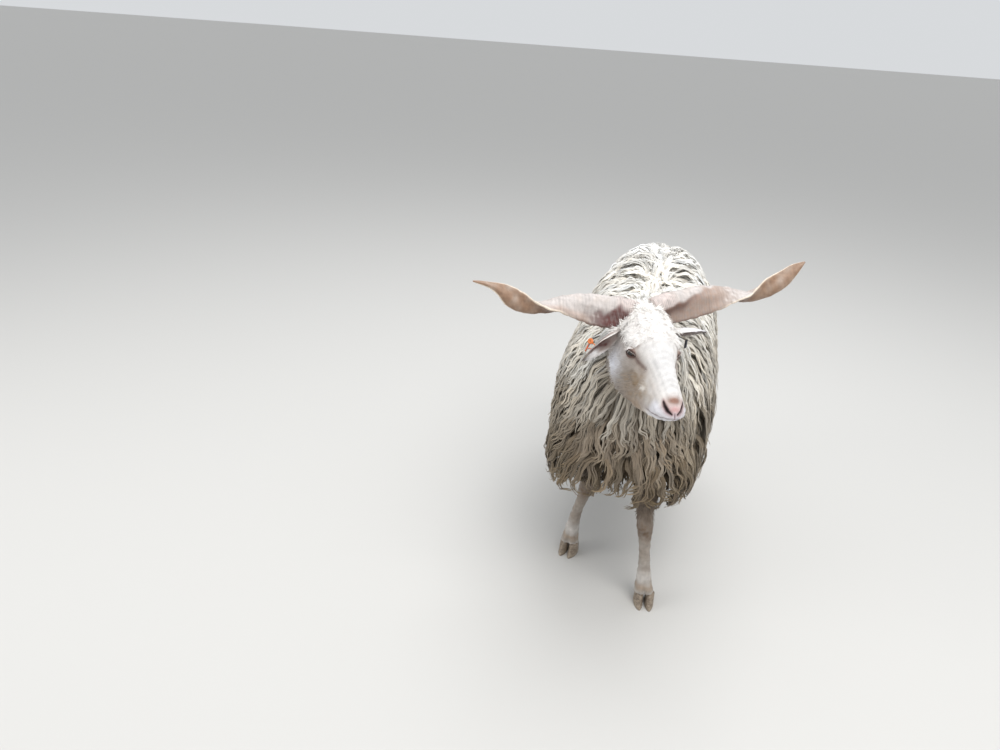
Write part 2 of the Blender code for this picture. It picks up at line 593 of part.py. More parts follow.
# --------------------------------------------------------------------- main
def main():
    for obj in list(bpy.data.objects):
        bpy.data.objects.remove(obj, do_unlink=True)
    body = new_collection("racka_sheep")
    cutters = new_collection("cutters")

    fleece = material("fleece", (0.52, 0.46, 0.37), 0.95)
    neck_wool = material("neck_wool", (0.47, 0.43, 0.37), 0.95)
    tail_wool = material("tail_wool", (0.50, 0.43, 0.34), 0.95)
    face = material("face_hair", (0.76, 0.71, 0.66), 0.85)
    ear_hair = material("ear_hair", (0.70, 0.61, 0.58), 0.80)
    leg_hair = material("leg_hair", (0.46, 0.39, 0.32), 0.85)
    foot_hair = material("foot_hair", (0.60, 0.55, 0.50), 0.85)
    horn_mat = material("horn", (0.56, 0.43, 0.33), 0.50)
    hoof_mat = material("hoof", (0.38, 0.35, 0.31), 0.60)
    eye_mat = material("eye", (0.06, 0.04, 0.03), 0.08)
    orange = material("orange_plastic", (0.85, 0.27, 0.08), 0.45)
    grey = material("grey_plastic", (0.12, 0.12, 0.13), 0.50)

    trunk = make_trunk(body, fleece)
    neck = make_neck(body, neck_wool)
    head = make_head(body, face)
    tail = make_tail(body, tail_wool)

    eyes = []
    for label, side in (("left", 1.0), ("right", -1.0)):
        s, u, q = EYE_AT
        place = from_head(s, side * u, q)
        eyes.append(make_ball("eye_" + label, place, EYE_RADIUS, body, eye_mat))
        socket = swell(eyes[-1], GAP)
        cut(head, socket, cutters, "socket_" + label)

    head_clear = swell(head, GAP)
    horns = []
    for label, side in (("left", 1.0), ("right", -1.0)):
        horn = make_horn("horn_" + label, side, body, horn_mat)
        cut(horn, head_clear.copy(), cutters, "head")
        horns.append(horn)

    ear_l, root_l, aim_l, face_l, across_l = make_ear(
        "ear_left", 1.0, EAR_LENGTH_LEFT, (-0.15, 0.985, 0.02), (0.75, 0.05, -0.50), body, ear_hair)
    ear_r, root_r, aim_r, face_r, across_r = make_ear(
        "ear_right", -1.0, EAR_LENGTH_RIGHT, (0.27, -0.75, -0.585), (0.90, 0.43, 0.07), body, ear_hair)
    for ear, horn in ((ear_l, horns[0]), (ear_r, horns[1])):
        cut(ear, head_clear.copy(), cutters, "head")
        cut(ear, swell(horn, GAP), cutters, "horn")

    cut(neck, swell(trunk, GAP), cutters, "trunk")
    for piece, label in ((head, "head"), (horns[0], "horn_l"), (horns[1], "horn_r"), (ear_l, "ear_l"), (ear_r, "ear_r")):
        cut(neck, swell(piece, GAP), cutters, label)
    cut(trunk, head_clear.copy(), cutters, "head")

    trunk_clear = swell(trunk, GAP)
    legs = []
    for label, foot, hind in (("front_left", FOOT_FRONT_LEFT, False), ("front_right", FOOT_FRONT_RIGHT, False),
                              ("hind_left", FOOT_HIND_LEFT, True), ("hind_right", FOOT_HIND_RIGHT, True)):
        upper = make_leg("leg_" + label + "_upper", foot, hind, body, leg_hair)
        lower = make_leg("leg_" + label + "_lower", foot, hind, body, foot_hair)
        joint = HOCK_Z if hind else KNEE_Z
        clip(upper, Vector((0, 0, joint + 0.5 * GAP)), Vector((0, 0, -1)))
        cut(upper, trunk_clear.copy(), cutters, "trunk")
        clip(lower, Vector((0, 0, joint - 0.5 * GAP)), Vector((0, 0, 1)))
        point, normal = coronet_plane(foot)
        clip(lower, point + normal * GAP, -normal)
        legs += [upper, lower]
        for outer in (True, False):
            claw = make_claw("claw_" + label + ("_outer" if outer else "_inner"), foot, outer, body, hoof_mat)
            clip(claw, point, normal)

    cut(tail, trunk_clear.copy(), cutters, "trunk")

    # the orange mark hangs behind the right ear, seen on edge, with its stud at the top
    down, out = Vector(TAG_PLATE_DOWN).normalized(), Vector(TAG_PLATE_OUT)
    out = (out - down * out.dot(down)).normalized()
    make_plate("tag_right_plate", TAG_PLATE, Vector(TAG_PLATE_AT), (down, out.cross(down), out), body, orange)
    facing = Vector(TAG_BUTTON_OUT).normalized()
    level = facing.cross(Vector((0, 0, 1))).normalized()
    make_plate("tag_right_button", (0, 0, 0.0036), Vector(TAG_BUTTON_AT), (level, facing.cross(level), facing),
               body, orange, TAG_BUTTON_R)
    # a small grey mark hangs below the left ear near its root
    hang = root_l + aim_l * 0.029 + Vector((0.0134, -0.0057, -0.0247))
    make_plate("tag_left", TAG_GREY, hang, (across_l, Vector((0, 0, -1)), across_l.cross(Vector((0, 0, -1)))), body, grey)

    for obj in body.objects:
        obj.data.transform(Matrix.Translation(Vector(SHIFT)))
    for obj in cutters.objects:
        obj.data.transform(Matrix.Translation(Vector(SHIFT)))


main()
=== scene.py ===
"""Racka sheep: skin, fleece, face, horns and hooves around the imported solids.

Everything is worked out in the animal's own frame (it faces -Y, its left is +X, the floor is
z = 0, metres) and moved by SHIFT at the end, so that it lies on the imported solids.
"""
import math

import bpy
import numpy as np
from mathutils import Matrix, Vector


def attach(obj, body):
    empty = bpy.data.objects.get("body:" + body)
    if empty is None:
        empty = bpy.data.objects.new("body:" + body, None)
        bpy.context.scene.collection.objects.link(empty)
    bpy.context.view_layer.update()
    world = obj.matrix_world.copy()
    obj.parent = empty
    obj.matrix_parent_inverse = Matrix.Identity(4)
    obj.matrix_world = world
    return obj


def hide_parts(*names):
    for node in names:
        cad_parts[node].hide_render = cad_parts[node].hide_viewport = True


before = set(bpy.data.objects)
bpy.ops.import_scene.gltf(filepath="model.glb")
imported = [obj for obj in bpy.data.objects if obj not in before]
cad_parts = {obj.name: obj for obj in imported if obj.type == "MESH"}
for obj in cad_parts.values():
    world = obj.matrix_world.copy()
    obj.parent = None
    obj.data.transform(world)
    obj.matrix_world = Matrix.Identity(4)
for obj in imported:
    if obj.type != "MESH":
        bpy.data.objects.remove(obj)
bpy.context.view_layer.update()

# ---------------------------------------------------------------- dimensions
SHIFT = np.array([0.0089, 0.0736, 0.0])
TRUNK_FRONT, TRUNK_BACK = -0.422, 0.418
TRUNK_HALF_WIDTH, TRUNK_TOP, TRUNK_HEM, TRUNK_WIDEST_Z, TRUNK_TURN = 0.194, 0.708, 0.268, 0.420, 0.085
POLL = np.array([0.001, -0.393, 0.752])
HEAD_YAW, HEAD_PITCH, HEAD_ROLL = math.radians(21.0), math.radians(20.5), math.radians(-3.5)
HEAD_LENGTH, HEAD_DEPTH, HEAD_HALF_WIDTH = 0.240, 0.168, 0.062
EYE_AT, EYE_R = (0.0947, 0.0405, -0.0365), 0.0136
HORN_SPAN_LEFT, HORN_SPAN_RIGHT, HORN_ROOT = 0.344, 0.350, 0.016
HORN_BASE_DEPTH, HORN_BASE_THICK, HORN_SWEEP = 0.066, 0.044, -0.09
HORN_RISE_LEFT = [(0.0, -0.008), (0.205, 0.007), (0.31, 0.017), (0.42, 0.0245), (0.53, 0.030), (0.63, 0.030),
                  (0.70, 0.037), (0.775, 0.050), (0.87, 0.070), (0.936, 0.092), (1.0, 0.109)]
HORN_RISE_RIGHT = [(0.0, -0.018), (0.15, -0.017), (0.24, -0.015), (0.38, -0.012), (0.47, -0.0125), (0.55, -0.0180),
                   (0.63, -0.0185), (0.73, -0.009), (0.84, 0.011), (0.91, 0.018), (1.0, 0.022)]
HORN_TAPER_LEFT = [(0.0, 0.74), (0.12, 0.92), (0.25, 0.97), (0.40, 0.89), (0.50, 0.79), (0.60, 0.71),
                   (0.77, 0.66), (0.88, 0.52), (0.95, 0.30), (1.0, 0.055)]
HORN_TAPER_RIGHT = [(0.0, 0.76), (0.12, 0.96), (0.25, 0.98), (0.40, 0.87), (0.50, 0.75), (0.60, 0.67),
                    (0.75, 0.62), (0.82, 0.44), (0.88, 0.24), (1.0, 0.055)]
EAR_LENGTH_RIGHT, EAR_LENGTH_LEFT, EAR_HALF_WIDTH = 0.096, 0.090, 0.0235
NECK_LOW, NECK_HIGH = np.array([-0.004, -0.222, 0.500]), np.array([-0.002, -0.377, 0.690])
TAIL_ROOT_Z, TAIL_TIP_Z = 0.625, 0.280
KNEE_Z, HOCK_Z = 0.206, 0.236
FEET = {"front_left": (0.100, -0.362, math.radians(4.0), False), "front_right": (-0.096, -0.206, math.radians(-16.0), False),
        "hind_left": (0.128, 0.262, math.radians(4.0), True), "hind_right": (-0.046, 0.290, math.radians(-10.0), True)}
HOOF_TOP, HOOF_SLOPE, CLAW_HALF_WIDTH, CLEFT = 0.031, 0.40, 0.0112, 0.0016

RNG = np.random.RandomState(41)
UP = np.array([0.0, 0.0, 1.0])


# ------------------------------------------------------------------- helpers
def ease(keys, x):
    """Monotone cubic through (place, size) keys, for arrays."""
    xs = np.array([k[0] for k in keys], float)
    ys = [np.asarray(k[1], float) for k in keys]
    x = np.asarray(x, float)
    h = np.diff(xs)
    d = [(ys[i + 1] - ys[i]) / h[i] for i in range(len(h))]
    m = [d[0]]
    for i in range(1, len(xs) - 1):
        w1, w2 = 2 * h[i] + h[i - 1], h[i] + 2 * h[i - 1]
        same = (d[i - 1] * d[i]) > 0
        with np.errstate(all="ignore"):
            v = (w1 + w2) / (w1 / np.where(same, d[i - 1], 1.0) + w2 / np.where(same, d[i], 1.0))
        m.append(np.where(same, v, 0.0))
    m.append(d[-1])
    x = np.clip(x, xs[0], xs[-1])
    idx = np.clip(np.searchsorted(xs, x, side="right") - 1, 0, len(h) - 1)
    out = np.zeros(np.broadcast(x, ys[0]).shape)
    for i in range(len(h)):
        t = (x - xs[i]) / h[i]
        val = ((2 * t**3 - 3 * t**2 + 1) * ys[i] + (t**3 - 2 * t**2 + t) * h[i] * m[i]
               + (-2 * t**3 + 3 * t**2) * ys[i + 1] + (t**3 - t**2) * h[i] * m[i + 1])
        out = np.where(idx == i, val, out)
    return out


def unit(v):
    return v / np.maximum(np.linalg.norm(v, axis=-1, keepdims=True), 1e-9)


def power(v, e):
    return np.sign(v) * np.abs(v) ** e


def step(a, b, x):
    t = np.clip((x - a) / (b - a), 0.0, 1.0)
    return t * t * (3 - 2 * t)


def blob(x, centre, width):
    return np.exp(-((x - centre) / width) ** 2)


def wobble(p, size, seed, waves=10):
    """Smooth noise of about unit spread, features about this size."""
    rng = np.random.RandomState(seed)
    k = rng.normal(size=(waves, 3))
    k *= (2 * np.pi / size * rng.uniform(0.6, 1.5, waves) / np.linalg.norm(k, axis=1))[:, None]
    return np.sin(p @ k.T + rng.uniform(0, 2 * np.pi, waves)).sum(-1) / math.sqrt(waves / 2)


def lin(r, g, b):
    c = np.array([r, g, b], float) / 255.0
    return np.where(c <= 0.04045, c / 12.92, ((c + 0.055) / 1.055) ** 2.4)


def mix(a, b, m):
    m = np.clip(np.asarray(m), 0, 1)[..., None]
    return a * (1 - m) + b * m


def head_axes():
    heading = Vector((math.sin(HEAD_YAW), -math.cos(HEAD_YAW), 0.0))
    lateral = Vector((math.cos(HEAD_YAW), math.sin(HEAD_YAW), 0.0))
    along = math.cos(HEAD_PITCH) * heading - math.sin(HEAD_PITCH) * Vector((0, 0, 1))
    dorsal = math.sin(HEAD_PITCH) * heading + math.cos(HEAD_PITCH) * Vector((0, 0, 1))
    turn = Matrix.Rotation(HEAD_ROLL, 3, heading)
    return (np.array(turn @ v) for v in (along, lateral, dorsal))


ALONG, LATERAL, DORSAL = head_axes()
HEAD = np.stack([ALONG, LATERAL, DORSAL])          # rows: along, lateral, dorsal


def lean(s):
    """The muzzle leans a little to the animal's left."""
    return 0.0085 * np.clip((s - 0.05) / 0.19, 0, None) ** 1.3


def from_head(p):
    p = np.array(p, float)
    p[..., 1] += lean(p[..., 0])
    return POLL + p @ HEAD


def to_head(p):
    h = (p - POLL) @ HEAD.T
    h[..., 1] -= lean(h[..., 0])
    return h


def make_mesh(name, verts, faces, tone=None, uv=None, lie=None, smooth=True):
    """A mesh object from arrays; faces is a list of (n, 3) or (n, 4) index arrays."""
    me = bpy.data.meshes.new(name)
    faces = [np.asarray(f, np.int32) for f in faces if len(f)]
    counts = np.concatenate([np.full(len(f), f.shape[1], np.int32) for f in faces])
    loops = np.concatenate([f.ravel() for f in faces])
    me.vertices.add(len(verts))
    me.vertices.foreach_set("co", np.ascontiguousarray(verts + SHIFT, np.float32).ravel())
    me.loops.add(len(loops))
    me.loops.foreach_set("vertex_index", loops)
    me.polygons.add(len(counts))
    me.polygons.foreach_set("loop_start", np.concatenate([[0], np.cumsum(counts)[:-1]]).astype(np.int32))
    me.update(calc_edges=True)
    if tone is not None:
        set_tone(me, tone)
    for layer, values in (("OFBake", uv), ("lie", lie)):
        if values is not None:
            me.uv_layers.new(name=layer)
            me.uv_layers[layer].data.foreach_set("uv", np.ascontiguousarray(values[loops], np.float32).ravel())
    if smooth:
        me.shade_smooth()
    obj = bpy.data.objects.new(name, me)
    bpy.context.scene.collection.objects.link(obj)
    return obj


def set_tone(me, tone):
    att = me.color_attributes.get("tone") or me.color_attributes.new("tone", "FLOAT_COLOR", "POINT")
    rgba = np.ones((len(tone), 4), np.float32)
    rgba[:, :3] = np.clip(tone, 0.001, 1.0)
    att.data.foreach_set("color", rgba.ravel())


def grid_faces(rows, cols, closed=True, start=0):
    """Quads over a rows x cols grid of vertices, wrapping round when closed."""
    r = np.arange(rows - 1)[:, None]
    c = np.arange(cols if closed else cols - 1)[None, :]
    n = (c + 1) % cols
    q = np.stack([r * cols + c + 0 * n, r * cols + n, (r + 1) * cols + n, (r + 1) * cols + c + 0 * n], -1)
    return q.reshape(-1, 4) + start


def closed_tube(rings):
    """Vertices and faces of a closed body from (rows, cols, 3) rings."""
    rows, cols = rings.shape[:2]
    verts = np.concatenate([rings.reshape(-1, 3), rings[0].mean(0)[None], rings[-1].mean(0)[None]])
    i = np.arange(cols)
    j = (i + 1) % cols
    a = np.stack([j, i, np.full(cols, rows * cols)], 1)
    b = np.stack([(rows - 1) * cols + i, (rows - 1) * cols + j, np.full(cols, rows * cols + 1)], 1)
    quads, tris = grid_faces(rows, cols), np.concatenate([a, b])
    p, q, r, s = (verts[quads[:, k]] for k in range(4))
    mid = rings.reshape(-1, 3).mean(0)
    vol = (np.cross(q - mid, r - mid) * (p - mid)).sum() + (np.cross(r - mid, s - mid) * (p - mid)).sum()
    if vol < 0:
        quads, tris = quads[:, ::-1], tris[:, ::-1]
    return verts, [quads, tris]


def done_mesh(obj, name):
    """The object's mesh with its modifiers applied."""
    bpy.context.view_layer.update()
    graph = bpy.context.evaluated_depsgraph_get()
    me = bpy.data.meshes.new_from_object(obj.evaluated_get(graph))
    obj.modifiers.clear()
    old = obj.data
    obj.data = me
    bpy.data.meshes.remove(old)
    me.name = name


def join(objs, name):
    """One object from several, their meshes side by side."""
    verts, faces, base = [], [], 0
    for o in objs:
        me = o.data
        co = np.zeros(len(me.vertices) * 3, np.float32)
        me.vertices.foreach_get("co", co)
        me.calc_loop_triangles()
        tri = np.zeros(len(me.loop_triangles) * 3, np.int32)
        me.loop_triangles.foreach_get("vertices", tri)
        verts.append(co.reshape(-1, 3) - SHIFT)
        faces.append(tri.reshape(-1, 3) + base)
        base += len(me.vertices)
        bpy.data.objects.remove(o, do_unlink=True)
    return make_mesh(name, np.concatenate(verts), [np.concatenate(faces)])


def unite(obj, other, name):
    """The union of two closed meshes as one surface."""
    mod = obj.modifiers.new("union", "BOOLEAN")
    mod.operation, mod.solver, mod.object = "UNION", "EXACT", other
    done_mesh(obj, name)
    bpy.data.objects.remove(other, do_unlink=True)
    return obj


def arrays(me):
    co = np.zeros(len(me.vertices) * 3, np.float32)
    me.vertices.foreach_get("co", co)
    me.calc_loop_triangles()
    tri = np.zeros(len(me.loop_triangles) * 3, np.int32)
    me.loop_triangles.foreach_get("vertices", tri)
    return co.reshape(-1, 3).astype(float) - SHIFT, tri.reshape(-1, 3)


# ------------------------------------------------------ outline of the fleece
TOP_KEYS = [(-0.42, 0.600), (-0.34, 0.655), (-0.20, 0.694), (0.00, TRUNK_TOP), (0.18, 0.744), (0.32, 0.742), (0.42, 0.684)]
HEM_KEYS = [(-0.42, 0.264), (-0.35, TRUNK_HEM - 0.020), (0.00, TRUNK_HEM + 0.006), (0.26, TRUNK_HEM + 0.006), (0.42, 0.300)]
HALF_KEYS = [(-0.42, 0.82), (-0.32, 0.93), (-0.18, 1.00), (0.02, 1.00), (0.18, 0.98), (0.32, 0.90), (0.42, 0.78)]
TRUNK_MID, TRUNK_REACH = 0.5 * (TRUNK_FRONT + TRUNK_BACK), 0.5 * (TRUNK_BACK - TRUNK_FRONT)
NECK_AXIS = unit(NECK_HIGH - NECK_LOW)
NECK_LONG = float(np.linalg.norm(NECK_HIGH - NECK_LOW))
NECK_SIDE = np.array([1.0, 0.0, 0.0])
NECK_SIDE = unit(NECK_SIDE - NECK_AXIS * NECK_SIDE.dot(NECK_AXIS))
NECK_CREST = np.cross(NECK_SIDE, NECK_AXIS)
NECK_CREST = NECK_CREST if NECK_CREST[2] > 0 else -NECK_CREST
NECK_WIDE = [(0, 0.100), (0.35, 0.114), (0.6, 0.108), (0.85, 0.082), (1.0, 0.062)]
NECK_NAPE = [(0, 0.120), (0.4, 0.112), (0.75, 0.092), (0.92, 0.078), (1.0, 0.062)]
NECK_THROAT = [(0, 0.165), (0.35, 0.172), (0.7, 0.150), (0.92, 0.110), (1.0, 0.082)]


def body_line(y):
    return TRUNK_TURN * (y + 0.26) + 0.006


def trunk_field(p):
    x, y, z = p[..., 0], p[..., 1], p[..., 2]
    top, hem, half = ease(TOP_KEYS, y), ease(HEM_KEYS, y), TRUNK_HALF_WIDTH * ease(HALF_KEYS, y)
    ax, dz = np.abs(x - body_line(y)) / half, z - TRUNK_WIDEST_Z
    zu, zl = np.abs(dz) / (top - TRUNK_WIDEST_Z), np.abs(dz) / (TRUNK_WIDEST_Z - hem)
    tau = np.abs((y - TRUNK_MID) / TRUNK_REACH)
    upper = ax ** 2.22 + zu ** 2 + tau ** 5
    lower = (ax ** 3.57 + zl ** 4) ** 0.526 + tau ** (5 + 6 * np.clip(2 * zl, 0, 1))
    return np.sqrt(np.where(dz > 0, upper, lower) + 1e-9)


def neck_field(p):
    r = p - NECK_LOW
    t = r @ NECK_AXIS / NECK_LONG
    a, b = np.abs(r @ NECK_SIDE), r @ NECK_CREST
    g = (a / ease(NECK_WIDE, t)) ** 2.1 + (np.abs(b) / np.where(b > 0, ease(NECK_NAPE, t), ease(NECK_THROAT, t))) ** 2.1
    return np.sqrt(g + (np.clip(t - 1, 0, None) / 0.22) ** 2 + (np.clip(-t, 0, None) / 0.4) ** 2 + 1e-9)


def tail_field(p):
    t = np.clip((TAIL_ROOT_Z - p[..., 2]) / (TAIL_ROOT_Z - TAIL_TIP_Z), 0, 1)
    y = ease([(0, 0.350), (0.15, 0.386), (0.35, 0.410), (0.65, 0.418), (0.85, 0.414), (1.0, 0.406)], t)
    wide = ease([(0, 0.034), (0.25, 0.040), (0.6, 0.042), (0.85, 0.034), (1.0, 0.020)], t)
    deep = ease([(0, 0.024), (0.25, 0.027), (0.6, 0.027), (0.85, 0.022), (1.0, 0.012)], t)
    g = ((p[..., 0] - TRUNK_TURN * (y + 0.26)) / wide) ** 2 + ((p[..., 1] - y) / deep) ** 2
    return np.sqrt(g + (np.clip(p[..., 2] - TAIL_ROOT_Z, 0, None) / 0.03) ** 2 + (np.clip(TAIL_TIP_Z - p[..., 2], 0, None) / 0.03) ** 2 + 1e-9)


def distance_to(p, field):
    e = 0.0015
    h = field(p)
    g = np.stack([(field(p + e * d) - field(p - e * d)) / (2 * e) for d in np.eye(3)], -1)
    m = np.maximum(np.linalg.norm(g, axis=-1), 0.8)
    return (h - 1) / m, g / np.maximum(np.linalg.norm(g, axis=-1), 1e-6)[..., None]


def outline(p):
    """Signed distance to the fleece's outline, negative inside, and the way out."""
    st, gt = distance_to(p, trunk_field)
    sn, gn = distance_to(p, neck_field)
    sl, gl = distance_to(p, tail_field)
    k = 0.04
    w = np.clip(0.5 + 0.5 * (sn - st) / k, 0, 1)
    s, g = sn * (1 - w) + st * w - k * w * (1 - w), gt * w[..., None] + gn * (1 - w[..., None])
    k = 0.012
    w = np.clip(0.5 + 0.5 * (sl - s) / k, 0, 1)
    return sl * (1 - w) + s * w - k * w * (1 - w), unit(g * w[..., None] + gl * (1 - w[..., None]))


# --------------------------------------------------------------------- head
def head_surface(s, phi):
    half = HEAD_HALF_WIDTH
    top = ease([(-0.05, -0.008), (-0.02, 0.016), (0.02, 0.0215), (0.058, 0.0180), (0.095, 0.010),
                (0.130, -0.003), (0.165, -0.0145), (0.200, -0.0265), (0.225, -0.0355), (0.246, -0.048)], s)
    low = ease([(-0.05, -0.095), (-0.02, -0.120), (0.02, -0.142), (0.070, 0.0180 - HEAD_DEPTH), (0.100, -0.1540),
                (0.135, -0.1435), (0.170, -0.1265), (0.200, -0.1090), (0.222, -0.0965), (0.246, -0.079)], s)
    brow = half * ease([(-0.05, 0.66), (-0.02, 0.84), (0.02, 0.94), (0.066, 0.99), (0.093, 1.00),
                        (0.115, 0.84), (0.142, 0.61), (0.175, 0.50), (0.210, 0.485), (0.246, 0.44)], s)
    cheek = half * ease([(-0.05, 0.66), (-0.02, 0.84), (0.02, 0.97), (0.066, 1.00), (0.100, 0.94),
                         (0.130, 0.83), (0.165, 0.69), (0.200, 0.575), (0.225, 0.565), (0.246, 0.48)], s)
    jaw = half * ease([(-0.05, 0.64), (-0.02, 0.84), (0.02, 1.01), (0.066, 1.09), (0.100, 1.10),
                       (0.130, 0.98), (0.165, 0.80), (0.200, 0.61), (0.222, 0.53), (0.246, 0.43)], s)
    v = 0.5 * (1.0 - np.cos(phi))
    width = ease([(0.0, brow * 0.86), (0.22, brow), (0.50, cheek), (0.80, jaw), (1.0, jaw * 0.80)], v)
    middle = 0.5 * (top + low)
    close = (1.0 - np.clip((s - 0.160) / (HEAD_LENGTH + 0.006 - 0.160), 0, 1) ** 4.6) ** 0.5
    close = close * (1.0 - np.clip(-s / 0.052, 0, 1) ** 2.4) ** 0.5
    q = middle + np.where(v < 0.5, top - middle, middle - low) * (1.0 - 2.0 * v) * close
    u = width * power(np.sin(phi), 0.62) * close
    u = u * (1.0 - 0.07 * blob(s, 0.138, 0.024) * blob(v, 0.36, 0.16))
    return np.stack([s + 0 * u, u, q], -1), v


EYE_OUT = unit(np.array([0.42, 0.88, 0.22]))
EYE_ALONG = np.array([0.925, -0.33, 0.13])
EYE_ALONG = unit(EYE_ALONG - EYE_OUT * EYE_ALONG.dot(EYE_OUT))
EYE_HIGH = np.cross(EYE_OUT, EYE_ALONG)
EYE_HIGH = EYE_HIGH if EYE_HIGH[2] > 0 else -EYE_HIGH
NOSTRIL = np.array([[0.2170, 0.0215, -0.0405], [0.2265, 0.0195, -0.0465], [0.2345, 0.0140, -0.0525], [0.2400, 0.0060, -0.0560]])
NOSTRIL_WIDTH = [0.0018, 0.0034, 0.0034, 0.0020]
MOUTH = np.array([[0.2475, 0.000, -0.0625], [0.2440, 0.010, -0.0655], [0.2350, 0.020, -0.0700], [0.2180, 0.0275, -0.0770],
                  [0.2000, 0.0305, -0.0830], [0.1830, 0.0330, -0.0850]])
TEAR = np.array([[0.1080, 0.0470, -0.0345], [0.1214, 0.0415, -0.0365], [0.1387, 0.0316, -0.0382]])


def to_line(p, line):
    """Distance to a polyline and the place along it, 0 to 1."""
    best, where = np.full(len(p), 9.0), np.zeros(len(p))
    for i in range(len(line) - 1):
        a, d = line[i], line[i + 1] - line[i]
        t = np.clip((p - a) @ d / (d @ d), 0, 1)
        r = np.linalg.norm(p - a - t[:, None] * d, axis=1)
        near = r < best
        best, where = np.where(near, r, best), np.where(near, (i + t) / (len(line) - 1), where)
    return best, where


def near_nostril(m):
    """Distance to the nostril's line, measured down in its pit too."""
    inward = unit(np.array([0.212, 0.002, -0.066]) - NOSTRIL)
    best, where = to_line(m, NOSTRIL)
    for deep in (0.003, 0.006, 0.009):
        d, t = to_line(m, NOSTRIL + deep * inward)
        best, where = np.minimum(best, d), np.where(d < best, t, where)
    return best, where


def eye_coords(m):
    """Place on the eyeball seen from outside: along the slit, upwards, outwards, radius."""
    r = m - np.array(EYE_AT)
    rad = np.linalg.norm(r, axis=1)
    d = r / np.maximum(rad, 1e-9)[:, None]
    return d @ EYE_ALONG * EYE_R, d @ EYE_HIGH * EYE_R, d @ EYE_OUT, rad, d


def eye_slit(x, y):
    """1 on the rim of the opening, less inside."""
    x = x - 0.0004
    y = y + 0.0004 - 0.06 * x
    open_up = 0.0047 * np.clip(1 - (np.abs(x) / 0.0106) ** 2.2, 1e-4, 1) ** 0.75
    open_dn = 0.0037 * np.clip(1 - (np.abs(x) / 0.0106) ** 2.0, 1e-4, 1) ** 0.75
    return np.maximum(np.abs(y) / np.where(y > 0, open_up, open_dn), np.abs(x) / 0.0106)


def normals_of(grid):
    """Outward normals of a closed (rows, cols, 3) grid."""
    du = np.roll(grid, -1, 1) - np.roll(grid, 1, 1)
    dv = np.gradient(grid, axis=0)
    n = unit(np.cross(du, dv))
    mid = grid.mean(1, keepdims=True)
    if (n * (grid - mid)).sum() < 0:
        n = -n
    return n


def head_depth(s, v):
    """How deep the skin lies under the tips of the hair."""
    face = 0.0022 + 0.0022 * step(0.19, 0.05, s)
    poll = 0.0070 * step(0.055, -0.01, s) * step(0.45, 0.15, v)
    cheek = 0.0022 * step(0.45, 0.80, v) * step(0.17, 0.09, s)
    return face + poll + cheek


